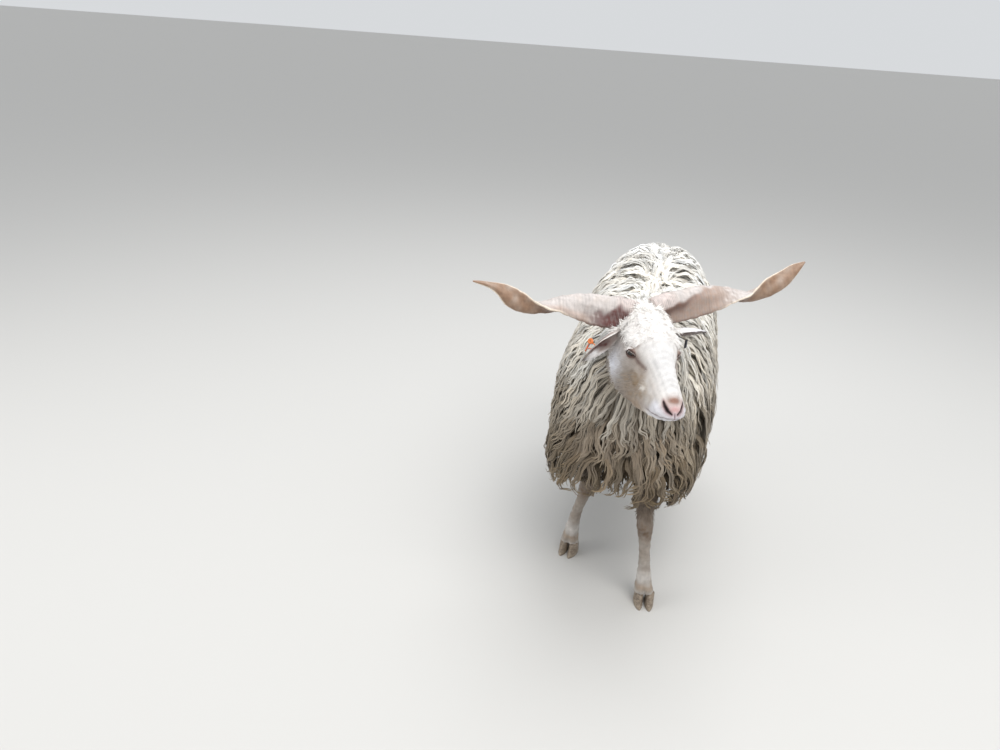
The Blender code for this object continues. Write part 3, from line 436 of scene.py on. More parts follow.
def build_head():
    back = np.array([-0.052 * (1 - c * c) ** (1 / 2.4) for c in np.linspace(0.06, 0.96, 16)])
    mid = np.concatenate([np.arange(back[-1] + 0.0015, 0.070, 0.0015), np.arange(0.070, 0.1165, 0.00075), np.arange(0.118, 0.2045, 0.0014)])
    front = np.array([0.160 + 0.086 * (1 - c * c) ** (1 / 4.6) for c in np.linspace(0.958, 0.045, 44)])
    front = front[front > mid[-1] + 0.0003]
    s = np.concatenate([back, mid, front])
    r = (np.arange(52) + 0.0) / 52
    quarter = 0.5 * np.pi * (0.42 * r + 0.58 * r ** 1.7)
    half = np.concatenate([quarter, [0.5 * np.pi], np.pi - quarter[:0:-1]])
    phi = np.concatenate([half, [np.pi], 2 * np.pi - half[:0:-1]])
    S, P = np.meshgrid(s, phi, indexing="ij")
    g, v = head_surface(S, P)
    n = normals_of(g)
    g = g - n * head_depth(S, v)[..., None]
    shape = g.shape
    p, n = g.reshape(-1, 3), n.reshape(-1, 3)
    side = np.where(p[:, 1] < 0, -1.0, 1.0)
    m = p * np.stack([np.ones_like(side), side, np.ones_like(side)], 1)
    nm = n * np.stack([np.ones_like(side), side, np.ones_like(side)], 1)

    def lump(centre, size, by):
        d = (m - np.array(centre)) / np.array(size)
        return by * np.exp(-(d * d).sum(1))

    rise = (lump((0.088, 0.054, -0.014), (0.020, 0.016, 0.009), 0.0036)        # brow above the eye
            + lump((0.118, 0.048, -0.058), (0.034, 0.02, 0.010), 0.0026)       # crest below the eye
            - lump((0.142, 0.036, -0.036), (0.020, 0.014, 0.010), 0.0018)      # hollow ahead of the eye
            - lump((0.060, 0.058, -0.040), (0.016, 0.014, 0.014), 0.0016)      # hollow behind the eye
            + lump((0.070, 0.060, -0.100), (0.034, 0.03, 0.030), 0.0026)       # cheek muscle
            - lump((0.140, 0.048, -0.090), (0.026, 0.02, 0.022), 0.0028)       # hollow of the cheek
            + lump((0.224, 0.021, -0.063), (0.014, 0.012, 0.008), 0.0018)      # upper lip
            + lump((0.232, 0.012, -0.040), (0.010, 0.008, 0.006), 0.0010)      # wing of the nostril
            + lump((0.200, 0.026, -0.095), (0.020, 0.014, 0.008), 0.0012))     # lower lip
    # wrinkled skin round the horns
    rise += 0.0007 * np.sin(m[:, 1] * 900 + 2 * wobble(m, 0.02, 5)) * blob(m[:, 1], 0.050, 0.016) * blob(m[:, 0], 0.0, 0.03) * (m[:, 2] > -0.03)
    rise += 0.0005 * wobble(m, 0.014, 7)
    m = m + nm * rise[:, None]
    # lids: the skin wraps the ball, and sinks behind it inside the opening
    x, y, z, rad, d = eye_coords(m)
    reach = np.sqrt(x * x + y * y) / EYE_R + np.where(z < 0, 9, 0)
    wrap = step(0.99, 0.80, reach) * step(0.032, 0.024, rad)
    slit = eye_slit(x, y)
    lid = EYE_R * 1.045 + 0.0013 + 0.0009 * blob(slit, 1.22, 0.20) - 0.0013 * blob(slit, 1.62, 0.16) * (y > 0) + 0.0006 * blob(slit, 2.0, 0.25)
    lid = lid + 0.0006 * (y > 0) * blob(slit, 1.2, 0.25)
    target = np.array(EYE_AT) + d * lid[:, None]
    m = mix(m, target, wrap)
    sink = step(1.07, 0.93, slit) * wrap
    m = mix(m, np.array(EYE_AT) + d * (EYE_R - 0.0030), sink)
    fold = (wrap < 0.999) * blob(reach, 1.04, 0.05) * (y > -0.002) * (z > 0) * step(0.034, 0.026, rad)
    m = m - nm * (0.0008 * fold)[:, None]
    # nostrils and mouth
    dn, tn = to_line(m, NOSTRIL)
    wn = np.interp(tn, np.linspace(0, 1, 4), NOSTRIL_WIDTH)
    m = m - nm * (0.0072 * np.sin(np.pi * np.clip(tn * 0.80 + 0.14, 0, 1)) * np.exp(-(dn / wn) ** 2.5))[:, None]
    m = m + nm * (0.0007 * np.exp(-((dn - 2.1 * wn) / (0.9 * wn)) ** 2))[:, None]
    dm, tm = to_line(m, MOUTH)
    over = np.where(m[:, 2] > np.interp(tm, np.linspace(0, 1, 6), MOUTH[:, 2]), 1.0, -0.2)
    m = m - nm * ((0.0030 - 0.0012 * tm) * np.exp(-(dm / 0.0014) ** 2) - 0.0008 * over * np.exp(-((dm - 0.0035) / 0.002) ** 2))[:, None]
    cleft = blob(m[:, 1], 0.0, 0.0013) * step(0.236, 0.243, m[:, 0]) * step(-0.066, -0.058, m[:, 2])
    m = m - nm * (0.0012 * cleft)[:, None]
    p = m * np.stack([np.ones_like(side), side, np.ones_like(side)], 1)
    rings = from_head(p).reshape(shape)
    return closed_tube(rings)


def head_ratio(h):
    """0 on the head's midline, 1 on its outline, for points in the head frame."""
    s, u, q = h[..., 0], np.abs(h[..., 1]), h[..., 2]
    top = ease([(-0.05, -0.008), (-0.02, 0.016), (0.02, 0.0215), (0.095, 0.010), (0.165, -0.0145), (0.246, -0.048)], s)
    low = ease([(-0.05, -0.095), (0.02, -0.142), (0.100, -0.1540), (0.170, -0.1265), (0.246, -0.079)], s)
    half = 0.062 * ease([(-0.05, 0.66), (0.02, 0.97), (0.08, 1.02), (0.13, 0.86), (0.20, 0.56), (0.246, 0.47)], s)
    c = (q - 0.5 * (top + low)) / (0.5 * (top - low))
    out = np.clip(s - 0.240, 0, None) / 0.02 + np.clip(-0.03 - s, 0, None) / 0.03
    return (np.abs(c) ** 2.6 + (u / half) ** 2.6) ** (1 / 2.6) + out


# ---------------------------------------------------------------- face paint
WHITE, BRIGHT, GREY = lin(226, 222, 219), lin(214, 212, 211), lin(150, 139, 130)


def face_tone(p):
    """Colour of skin and hair on the head, from places in the head frame."""
    m = p.copy()
    m[:, 1] = np.abs(m[:, 1])
    s, u, q = m.T

    def spot(centre, size):
        d = (m - np.array(centre)) / np.array(size)
        return np.exp(-(d * d).sum(1))

    n1, n2 = wobble(p, 0.035, 11), wobble(p, 0.012, 12)
    tone = np.tile(WHITE, (len(p), 1))
    # grey on the sides of the head below the brow: partly the hair's own grey and partly painted shade on the sides
    flank = step(0.020, 0.042, u + 0.004 * n1) * step(-0.010, -0.034, q)
    tone = mix(tone, GREY, flank * 0.80)
    tone = mix(tone, BRIGHT, step(0.034, 0.018, u + 0.003 * n1) * step(0.085, 0.130, s) * step(-0.030 - 0.16 * (s - 0.13), -0.012 - 0.16 * (s - 0.13), q))
    tone = mix(tone, lin(142, 123, 101), spot((0.146, 0.040, -0.074), (0.044, 0.03, 0.028)) * (0.80 + 0.2 * n2))
    tone = mix(tone, lin(234, 235, 242), spot((0.074, 0.060, -0.090), (0.026, 0.03, 0.034)) * 1.0)
    # dark brown along the underside of the jaw: partly a stain in the hair and partly painted shade under the head
    tone = mix(tone, lin(90, 72, 51), spot((0.135, 0.045, -0.140), (0.056, 0.05, 0.028)) * (0.95 + 0.2 * n2))
    tone = mix(tone, lin(150, 120, 86), spot((0.170, 0.030, -0.108), (0.022, 0.03, 0.014)) * 0.65)
    tone = mix(tone, lin(236, 232, 226), spot((0.166, 0.041, -0.063), (0.006, 0.01, 0.005)) * 0.9)
    tone = mix(tone, lin(217, 216, 222), step(0.196, 0.212, s) * step(-0.046, -0.058, q) * 0.92)
    tone = mix(tone, lin(206, 180, 172), spot((0.004, 0.050, 0.004), (0.030, 0.018, 0.020)) * 0.8)
    # dark ring round the eye and the wet line that runs forward from it
    x, y, z, rad, _ = eye_coords(m)
    slit = eye_slit(x, y)
    front = (z > 0.1) * step(0.034, 0.026, rad)
    tone = mix(tone, lin(150, 126, 114), step(3.4, 1.8, slit + 0.2 * n2) * front * 0.85)
    tone = mix(tone, lin(88, 58, 51), step(2.6, 1.5, slit + 0.15 * n2) * front * 0.97)
    tone = mix(tone, lin(180, 158, 148), front * blob(slit, 1.75, 0.18) * step(0.0, 0.002, y) * 0.6)
    tone = mix(tone, lin(44, 30, 28), step(1.30, 1.02, slit) * front)
    dt, tt = to_line(m, TEAR)
    tone = mix(tone, lin(150, 128, 116), np.exp(-(dt / 0.0075) ** 2) * 0.6 * (1 - 0.5 * tt))
    tone = mix(tone, lin(78, 52, 46), np.exp(-(dt / (0.0056 - 0.0018 * tt)) ** 2) * 1.0 * (1 - 0.25 * tt))
    # nose: brown above, pink between the nostrils, dark slits
    tone = mix(tone, lin(146, 112, 98), spot((0.2200, 0.0, -0.0385), (0.0090, 0.018, 0.0085)) * 1.15)
    tone = mix(tone, lin(206, 166, 164), spot((0.2345, 0.0, -0.0480), (0.0085, 0.013, 0.0070)) * 1.15)
    dn, tn = near_nostril(m)
    wn = np.interp(tn, np.linspace(0, 1, 4), NOSTRIL_WIDTH)
    tone = mix(tone, lin(150, 104, 104), np.exp(-(dn / (2.2 * wn)) ** 2) * 0.8)
    # near-black in the nostril pits: painted shade inside the holes
    tone = mix(tone, lin(38, 23, 25), np.exp(-(dn / (1.10 * wn)) ** 4))
    # darker pink down the cleft below the nose: painted shade in the groove
    tone = mix(tone, lin(120, 88, 92), blob(m[:, 1], 0.0, 0.0016) * step(0.232, 0.238, s) * step(-0.052, -0.057, q) * 0.9)
    dm, tm = to_line(m, MOUTH)
    tone = mix(tone, lin(150, 132, 134), np.exp(-(dm / 0.0050) ** 2) * 0.5)
    # dark line where the lips meet: painted shade in the mouth's groove
    tone = mix(tone, lin(62, 42, 44), np.exp(-(dm / 0.0020) ** 2) * 0.95)
    return tone * (1 + 0.025 * n2)[:, None] * (1 + 0.025 * n1)[:, None]


# --------------------------------------------------------------------- ears
def ear_frame(side):
    aim, opening, length = (((-0.15, 0.985, 0.02), (0.75, 0.05, -0.50), EAR_LENGTH_LEFT) if side > 0 else
                            ((0.27, -0.75, -0.585), (0.90, 0.43, 0.07), EAR_LENGTH_RIGHT))
    aim = unit(np.array(aim) @ HEAD)
    face = np.array(opening) @ HEAD
    face = unit(face - aim * face.dot(aim))
    return from_head((0.034, side * 0.050, -0.032)), aim, face, np.cross(aim, face), length


def ear_leaf(side, t, w, lift=0.0):
    """Point on the ear: t to the tip, w across, lifted off the middle sheet."""
    root, aim, face, across, length = ear_frame(side)
    half = EAR_HALF_WIDTH * ease([(-0.15, 0.60), (0, 0.64), (0.16, 0.80), (0.42, 1.0), (0.66, 0.80), (0.86, 0.42), (1.0, 0.03)], t)
    curl = np.radians(ease([(-0.15, 120), (0, 116), (0.2, 90), (0.5, 60), (0.8, 46), (1.0, 30)], t))
    radius = half / curl
    x = radius * np.sin(curl * w)
    z = radius * (1 - np.cos(curl * w)) - 0.45 * radius * (1 - np.cos(curl))
    nx, nz = -np.sin(curl * w), np.cos(curl * w)
    ripple = 0.0008 * np.sin(9 * t + 3 * w) * (1 - np.abs(w))
    p = root + np.expand_dims(length * t, -1) * aim + np.expand_dims(x + nx * lift, -1) * across
    return p + np.expand_dims(z + ripple + nz * lift, -1) * face + np.expand_dims(-0.006 * np.clip(t, 0, 1) ** 2, -1) * UP


def build_ear(side):
    T, W = np.meshgrid(np.linspace(-0.12, 0.985, 40), np.linspace(-1, 1, 25), indexing="ij")
    thick = (0.0024 - 0.0014 * T) * np.sqrt(np.clip(1 - 0.82 * W ** 4, 0.05, 1))
    inner, outer = ear_leaf(side, T, W, 0.5 * thick), ear_leaf(side, T, W, -0.5 * thick)
    rings = np.concatenate([inner, outer[:, ::-1]], 1)
    return closed_tube(rings)


def ear_coords(p, side):
    root, aim, face, across, length = ear_frame(side)
    r = p - root
    t = r @ aim / length
    x = r @ across
    half = EAR_HALF_WIDTH * ease([(-0.15, 0.60), (0, 0.64), (0.16, 0.80), (0.42, 1.0), (0.66, 0.80), (0.86, 0.42), (1.0, 0.03)], t)
    sheet = ear_leaf(side, np.clip(t, -0.12, 1), np.clip(x / half, -1, 1))
    return t, x / half, (p - sheet) @ face, np.linalg.norm(p - sheet, axis=-1)


def ear_tone(p, side):
    t, w, depth, _ = ear_coords(p, side)
    inside = step(-0.0004, 0.0006, depth)
    n = wobble(p, 0.012, 21)
    tone = np.tile(lin(196, 186, 180), (len(p), 1))
    tone = mix(tone, lin(230, 228, 229), step(0.10, 0.40, t) * (1 - inside))
    tone = mix(tone, lin(160, 146, 140), inside * 0.9)
    # dark reddish-brown down the middle of the cup: partly the skin inside the ear and partly painted shade in the
    # hollow of the cup
    tone = mix(tone, lin(92, 60, 56), inside * step(0.84, 0.40, np.abs(w)) * step(0.20, 0.45, t) * step(0.92, 0.74, t) * (0.9 + 0.2 * n))
    tone = mix(tone, lin(228, 225, 224), step(0.72, 0.92, np.abs(w)) * 0.9)
    if side > 0:
        tone = mix(tone, lin(246, 246, 250), step(0.25, -0.10, w) * 0.95)
        # the darker half of the left ear is partly its pinkish underside and partly painted shade beneath the ear
        tone = mix(tone, lin(112, 98, 94), step(0.25, 0.55, w) * 0.80)
    tone = mix(tone, lin(92, 82, 80), step(0.84, 0.98, t) * (0.9 if side < 0 else 0.4))
    return tone * (1 + 0.05 * n)[:, None]


# --------------------------------------------------------------------- legs
def leg_centre(name, z):
    fx, fy, heading, hind = FEET[name]
    side = 1.0 if fx > 0 else -1.0
    if not hind:
        if side > 0:
            xs = [(0.0, fx), (0.07, fx - 0.0075), (KNEE_Z, 0.0760), (0.26, 0.0700), (0.42, 0.066)]
            ys = [(0.0, fy - 0.002), (0.033, fy + 0.004), (0.075, fy + 0.014), (KNEE_Z, fy + 0.017), (0.27, fy + 0.030), (0.42, fy + 0.090)]
        else:
            xs = [(0.0, fx), (0.045, fx + 0.001), (0.115, -0.0880), (KNEE_Z, -0.0700), (0.26, -0.0660), (0.42, -0.066)]
            ys = [(0.0, fy - 0.002), (0.033, fy + 0.003), (0.075, fy + 0.010), (KNEE_Z, fy - 0.004), (0.27, fy - 0.012), (0.42, fy - 0.020)]
        wide = [(0.0, 0.0220), (0.033, 0.0225), (0.055, 0.0195), (0.075, 0.0182), (0.100, 0.0155), (0.135, 0.0145),
                (0.175, 0.0162), (KNEE_Z, 0.0202), (0.235, 0.0212), (0.27, 0.0245), (0.42, 0.036)]
        deep = [(0.0, 0.0240), (0.033, 0.0245), (0.055, 0.0205), (0.075, 0.0210), (0.100, 0.0172), (0.135, 0.0160),
                (0.175, 0.0172), (KNEE_Z, 0.0215), (0.235, 0.0230), (0.27, 0.0290), (0.42, 0.050)]
    else:
        xs = [(0.0, fx), (0.08, fx - 0.004 * side), (HOCK_Z, fx - 0.014 * side), (0.30, fx - 0.010 * side), (0.44, fx - 0.008 * side)]
        ys = [(0.0, fy - 0.002), (0.033, fy + 0.004), (0.080, fy + 0.020), (0.150, fy + 0.032), (HOCK_Z - 0.02, fy + 0.047),
              (HOCK_Z + 0.02, fy + 0.046), (0.30, fy + 0.018), (0.44, fy - 0.060)]
        wide = [(0.0, 0.0215), (0.033, 0.0220), (0.055, 0.0190), (0.080, 0.0185), (0.105, 0.0150), (0.160, 0.0142),
                (0.200, 0.0165), (HOCK_Z, 0.0195), (0.265, 0.0190), (0.31, 0.0255), (0.44, 0.048)]
        deep = [(0.0, 0.0235), (0.033, 0.0240), (0.055, 0.0200), (0.080, 0.0212), (0.105, 0.0172), (0.160, 0.0165),
                (0.200, 0.0225), (HOCK_Z, 0.0275), (0.265, 0.0270), (0.31, 0.0380), (0.44, 0.075)]
    return ease(xs, z), ease(ys, z), ease(wide, z), ease(deep, z), heading * np.clip(1 - z / 0.20, 0, 1)


def build_leg(name):
    fx, fy, heading, hind = FEET[name]
    z = np.concatenate([[0.0275, 0.0285], np.arange(0.030, 0.300, 0.0036), np.arange(0.31, 0.415, 0.012)])
    phi = np.arange(40) * 2 * np.pi / 40
    Z, P = np.meshgrid(z, phi, indexing="ij")
    cx, cy, rx, ry, turn = leg_centre(name, Z)
    coat = 0.0012 + 0.0030 * step(0.20, 0.27, Z)
    rx, ry = rx - coat, ry - coat
    # phi = pi looks forward; the toes part at the front and behind, tendons stand off behind the cannon
    fwd = np.cos(P)
    front, rear = np.exp(-((P - np.pi) / 0.22) ** 2), np.exp(-(np.minimum(P, 2 * np.pi - P) / 0.24) ** 2)
    low = step(0.064, 0.036, Z)
    groove = 1 - (0.34 * front + 0.22 * rear) * low
    tendon = 1 - 0.10 * np.exp(-((np.abs(np.sin(P)) - 0.85) / 0.2) ** 2) * (fwd > -0.2) * blob(Z, 0.135, 0.045)
    knob = 1 + 0.05 * blob(Z, 0.072, 0.014) * (fwd > 0) + (0.05 * blob(Z, KNEE_Z, 0.016) * (fwd < 0) if not hind else 0.20 * np.clip(fwd, 0, 1) * blob(Z, HOCK_Z + 0.012, 0.020))
    inset = np.where(Z < 0.0290, 0.80, 1.0)
    lx, ly = rx * power(np.sin(P), 0.92) * tendon * inset, ry * power(np.cos(P), 0.92) * groove * knob * inset
    lx = lx * (1 + 0.04 * low * (1 - front))
    tilt = step(0.080, 0.033, Z) * HOOF_SLOPE * (-ly)
    p = np.stack([cx + lx * np.cos(turn) - ly * np.sin(turn), cy + lx * np.sin(turn) + ly * np.cos(turn), Z + tilt], -1)
    n = normals_of(p)
    flat = p.reshape(-1, 3)
    p = p + n * (0.0005 * wobble(flat, 0.016, 31)).reshape(Z.shape)[..., None]
    return closed_tube(p)


def leg_tone(p):
    z = p[:, 2]
    n1, n2 = wobble(p, 0.03, 33), wobble(p, 0.010, 34)
    tone = np.tile(lin(151, 142, 133), (len(p), 1))
    tone = mix(tone, lin(108, 95, 83), step(0.205, 0.250, z + 0.006 * n1))
    tone = mix(tone, lin(96, 77, 60), blob(z + 0.004 * n1, 0.200, 0.027) * (0.85 + 0.15 * n2))
    tone = mix(tone, lin(130, 116, 104), blob(z, 0.120, 0.030) * (0.25 + 0.25 * n1))
    tone = mix(tone, lin(190, 185, 180), blob(z + 0.004 * n1, 0.076, 0.020) * 0.85)
    tone = mix(tone, lin(150, 130, 110), blob(z + 0.003 * n1, 0.050, 0.007) * 0.60)
    tone = mix(tone, lin(186, 180, 174), step(0.044, 0.036, z) * 0.8)
    return tone * (1 + 0.05 * n2)[:, None]


# --------------------------------------------------------------- rest of skin
def build_trunk_core():
    y = TRUNK_MID - 0.004 - 0.392 * np.cos(np.pi * (np.arange(34) + 0.5) / 34)
    phi = np.arange(56) * 2 * np.pi / 56
    Y, P = np.meshgrid(y, phi, indexing="ij")
    tau = (Y - TRUNK_MID + 0.004) / 0.392
    top = ease(TOP_KEYS, Y) - 0.026
    low = ease([(-0.42, 0.44), (-0.30, 0.372), (-0.15, 0.352), (0.05, 0.362), (0.20, 0.395), (0.34, 0.44)], Y)
    half = ease([(-0.42, 0.100), (-0.28, 0.138), (-0.12, 0.155), (0.06, 0.160), (0.22, 0.153), (0.36, 0.125)], Y)
    mid = ease([(-0.42, 0.53), (-0.10, 0.51), (0.20, 0.53), (0.40, 0.56)], Y)
    close = (1 - np.abs(tau) ** 4.0) ** 0.5
    c, s = np.cos(P), np.sin(P)
    z = mid + np.where(c > 0, (top - mid) * power(c, 0.95), (mid - low) * power(c, 0.95)) * close
    return closed_tube(np.stack([body_line(Y) + half * power(s, 0.92) * close, Y, z], -1))


def build_neck_core():
    t = np.linspace(0, 1.06, 18)
    phi = np.arange(44) * 2 * np.pi / 44
    T, P = np.meshgrid(t, phi, indexing="ij")
    centre = NECK_LOW + (NECK_HIGH - NECK_LOW) * np.minimum(T, 1.06)[..., None]
    wide, nape, throat = ease(NECK_WIDE, T) - 0.028, ease(NECK_NAPE, T) - 0.024, ease(NECK_THROAT, T) - 0.036
    wide = np.maximum(wide, 0.044)
    c = np.cos(P)
    p = centre + NECK_SIDE * (wide * np.sin(P))[..., None] + NECK_CREST * (np.where(c > 0, nape, throat) * c)[..., None]
    return closed_tube(p)


def build_tail_core():
    t = np.linspace(0, 0.94, 24)
    phi = np.arange(20) * 2 * np.pi / 20
    T, P = np.meshgrid(t, phi, indexing="ij")
    z = TAIL_ROOT_Z + (TAIL_TIP_Z - TAIL_ROOT_Z) * T
    y = ease([(0, 0.330), (0.15, 0.376), (0.35, 0.402), (0.65, 0.412), (0.85, 0.410), (1.0, 0.404)], T)
    r = ease([(0, 0.020), (0.3, 0.017), (0.8, 0.010), (1.0, 0.004)], T)
    return closed_tube(np.stack([TRUNK_TURN * (y + 0.26) + r * np.sin(P), y + r * np.cos(P), z], -1))


def wool_skin_tone(p):
    # painted shade: the skin showing between the locks is kept dark low down and at the chest so it reads as depth, and
    # pale on the back beneath the pale wool
    n = wobble(p, 0.05, 51)
    tone = mix(np.tile(lin(98, 84, 67), (len(p), 1)), lin(240, 237, 232), step(0.36, 0.66, p[:, 2]))
    tone = mix(tone, lin(136, 125, 112), step(-0.26, -0.34, p[:, 1]) * step(0.71, 0.67, p[:, 2]))
    return tone * (1 + 0.10 * n)[:, None]


def skin_tone(p):
    """Colour of the whole skin, from place alone."""
    h = to_head(p)
    tone = wool_skin_tone(p)
    leg = np.zeros(len(p))
    for name in FEET:
        cx, cy, rx, ry, _ = leg_centre(name, p[:, 2])
        near = np.hypot((p[:, 0] - cx) / (rx + 0.008), (p[:, 1] - cy) / (ry + 0.010))
        leg = np.maximum(leg, (near < 1.05) * step(0.40, 0.33, p[:, 2]))
    tone = mix(tone, leg_tone(p), leg)
    on_head = step(1.12, 1.03, head_ratio(h)) * step(-0.020, 0.004, h[:, 0])
    tone = mix(tone, face_tone(h), on_head)
    for side in (1.0, -1.0):
        t, w, depth, gap = ear_coords(p, side)
        tone = mix(tone, ear_tone(p, side), step(0.006, 0.003, gap) * step(0.02, 0.16, t))
    return tone


# -------------------------------------------------------------------- horns
def horn_line(t, side):
    span = HORN_SPAN_LEFT if side > 0 else HORN_SPAN_RIGHT
    u = HORN_ROOT + (span - HORN_ROOT) * t
    rise = ease(HORN_RISE_LEFT if side > 0 else HORN_RISE_RIGHT, t)
    reach = HORN_SWEEP * u
    along = reach * math.cos(HEAD_PITCH) - rise * math.sin(HEAD_PITCH)
    up = reach * math.sin(HEAD_PITCH) + rise * math.cos(HEAD_PITCH)
    centre = from_head(np.stack([along, side * u, up], -1))
    lag = t - 0.022 * side
    turn = np.radians(ease([(0.0, 22), (0.22, 28), (0.40, 54), (0.50, 80), (0.60, 112), (0.68, 146), (0.77, 182), (0.88, 208), (1.0, 222)], lag))
    depth = HORN_BASE_DEPTH * ease(HORN_TAPER_LEFT if side > 0 else HORN_TAPER_RIGHT, t)
    thick = HORN_BASE_THICK * ease([(0.0, 1.0), (0.22, 0.84), (0.45, 0.62), (0.60, 0.52), (0.75, 0.42), (0.88, 0.28), (1.0, 0.075)], t)
    return centre, turn, depth, thick


def build_horn(side):
    t = np.concatenate([np.linspace(0.0, 0.93, 250), 1 - (1 - np.linspace(0, 1, 26)[1:]) ** 1.5 * 0.07])
    phi = np.arange(64) * 2 * np.pi / 64
    centre, turn, depth, thick = horn_line(t, side)
    ahead = unit(horn_line(np.minimum(t + 0.01, 1), side)[0] - horn_line(np.maximum(t - 0.01, 0), side)[0])
    sky = unit(UP - ahead * ahead[:, 2:3])
    front = np.cross(ahead, sky)
    front = np.where(front[:, 1:2] > 0, -front, front)
    keel = -np.cos(turn)[:, None] * sky + np.sin(turn)[:, None] * front
    flank = np.sin(turn)[:, None] * sky + np.cos(turn)[:, None] * front
    T, P = np.meshgrid(t, phi, indexing="ij")
    length = T * (HORN_SPAN_LEFT if side > 0 else HORN_SPAN_RIGHT) * 1.06
    # growth rings: close set at the base, wider and fainter towards the tip
    beat = length * 2 * np.pi / 0.0062 + 1.6 * np.sin(length * 95 + side) + 0.35 * np.sin(2 * P + side) + 1.1 * np.sin(length * 31)
    ring = (0.5 + 0.5 * np.cos(beat)) ** 2.2
    swell = np.sin(length * 2 * np.pi / 0.031 + side) + 0.6 * np.sin(length * 2 * np.pi / 0.019 + 2)
    fade = step(0.0, 0.05, T) * (1 - 0.75 * step(0.35, 0.95, T))
    rough = wobble(np.stack([length * 1.0, 0.004 * np.cos(P), 0.004 * np.sin(P)], -1).reshape(-1, 3), 0.012, 64 + int(side)).reshape(T.shape)
    bump = (0.00038 * ring * (0.6 + 0.4 * rough) + 0.0006 * swell) * fade
    collar = 0.0020 * step(0.185, 0.125, T + 0.02 * np.sin(2 * P)) + 0.0007 * np.sin(length * 2 * np.pi / 0.0042 + 0.9 * np.sin(3 * P)) * step(0.17, 0.12, T)
    c, s = np.cos(P), np.sin(P)
    body = power(s, 1.18) * (1.0 - 0.42 * c)
    # the keel is a sharp lip with a hollow beside it on the outer turn
    hollow = 1 - 0.34 * blob(c, 0.45, 0.40) * (s < 0) * step(0.20, 0.42, T) - 0.12 * blob(c, 0.5, 0.35) * (s > 0) * step(0.25, 0.5, T)
    hollow = hollow - 0.24 * blob(c, 0.58, 0.34) * (s > 0) * step(0.50, 0.36, T) + 0.08 * blob(c, 0.02, 0.22) * (s > 0) * step(0.50, 0.36, T)
    edge = 0.5 * depth[:, None] * c + (bump + collar) * c
    face = 0.5 * thick[:, None] * body * hollow + (bump + collar) * np.sign(s) * np.abs(s) ** 0.5
    rings = centre[:, None] + keel[:, None] * edge[..., None] + flank[:, None] * face[..., None]
    verts, faces = closed_tube(rings)
    # colours
    A = step(-0.25, 0.25, s)                      # the face that looks forward at the root
    flat = rings.reshape(-1, 3)
    n1, n2 = wobble(flat, 0.03, 61).reshape(T.shape), wobble(flat, 0.010, 62).reshape(T.shape)
    light, tan, brown, dark = lin(197, 189, 185), lin(184, 163, 144), lin(148, 118, 96), lin(96, 68, 54)
    tone = np.tile(light, T.shape + (1,))
    tone = mix(tone, tan, (1 - A) * 0.8 + 0.10 * n1)
    # brown over the face that turns inwards from a third of the way out: partly the horn's own colour and partly
    # painted shade on the concave side
    tone = mix(tone, brown, (1 - A) * step(0.30, 0.48, T) * (0.85 + 0.15 * n1))
    tone = mix(tone, lin(168, 128, 96), A * step(0.60, 0.80, T) * 0.8)
    tone = mix(tone, brown, step(0.90, 1.0, T) * 0.7)
    # darker band midway along that face: partly dark horn and partly painted shade in the hollow
    tone = mix(tone, dark, (1 - A) * blob(T, 0.56 + 0.02 * side, 0.075) * 0.75)
    tone = mix(tone, lin(208, 194, 189), step(0.165, 0.115, T) * (0.80 + 0.1 * n2))
    if side < 0:
        stain = A * step(-0.30, 0.20, c - 1.3 * (T - 0.16) + 0.16 * n1) * step(0.35, 0.19, T + 0.02 * n2)
        tone = mix(tone, lin(110, 70, 68), stain * (0.90 + 0.12 * n2))
        tone = mix(tone, lin(166, 138, 122), A * step(0.30, 0.75, c) * step(0.24, 0.34, T) * step(0.62, 0.50, T) * 0.6)
    else:
        # on the left horn the lower face near the root is darker brown: partly the horn's colour and partly painted
        # shade on its underside
        cut = c + 2.0 * (T - 0.065) + 0.05 * n1
        under = A * step(-0.15, 0.10, cut) * step(0.56, 0.42, T + 0.02 * n2)
        tone = mix(tone, lin(168, 145, 132), under * (0.86 + 0.10 * n2))
        tone = mix(tone, lin(98, 66, 56), under * blob(cut, 0.16, 0.34) * step(0.40, 0.14, T) * 0.85)
    tone = mix(tone, lin(98, 66, 50), step(0.84, 0.98, c) * step(0.10, 0.18, T) * step(0.46, 0.30, T) * 0.55)
    rim = step(0.86, 0.985, np.abs(c)) * step(0.34, 0.55, T)
    tone = mix(tone, lin(236, 222, 204), rim * 0.85)
    # painted shade: darker in the grooves between the growth rings and in the wrinkles of the collar at the root
    crease = step(0.55, 0.9, np.sin(length * 2 * np.pi / 0.0042 + 0.9 * np.sin(3 * P) + np.pi)) * step(0.18, 0.12, T)
    tone = tone * (1 - 0.10 * (1 - ring) * fade * (0.7 + 0.3 * rough) - 0.28 * crease + 0.05 * n2)[..., None]
    ends = np.stack([tone[0].mean(0), tone[-1].mean(0)])
    return verts, faces, np.concatenate([tone.reshape(-1, 3), ends])


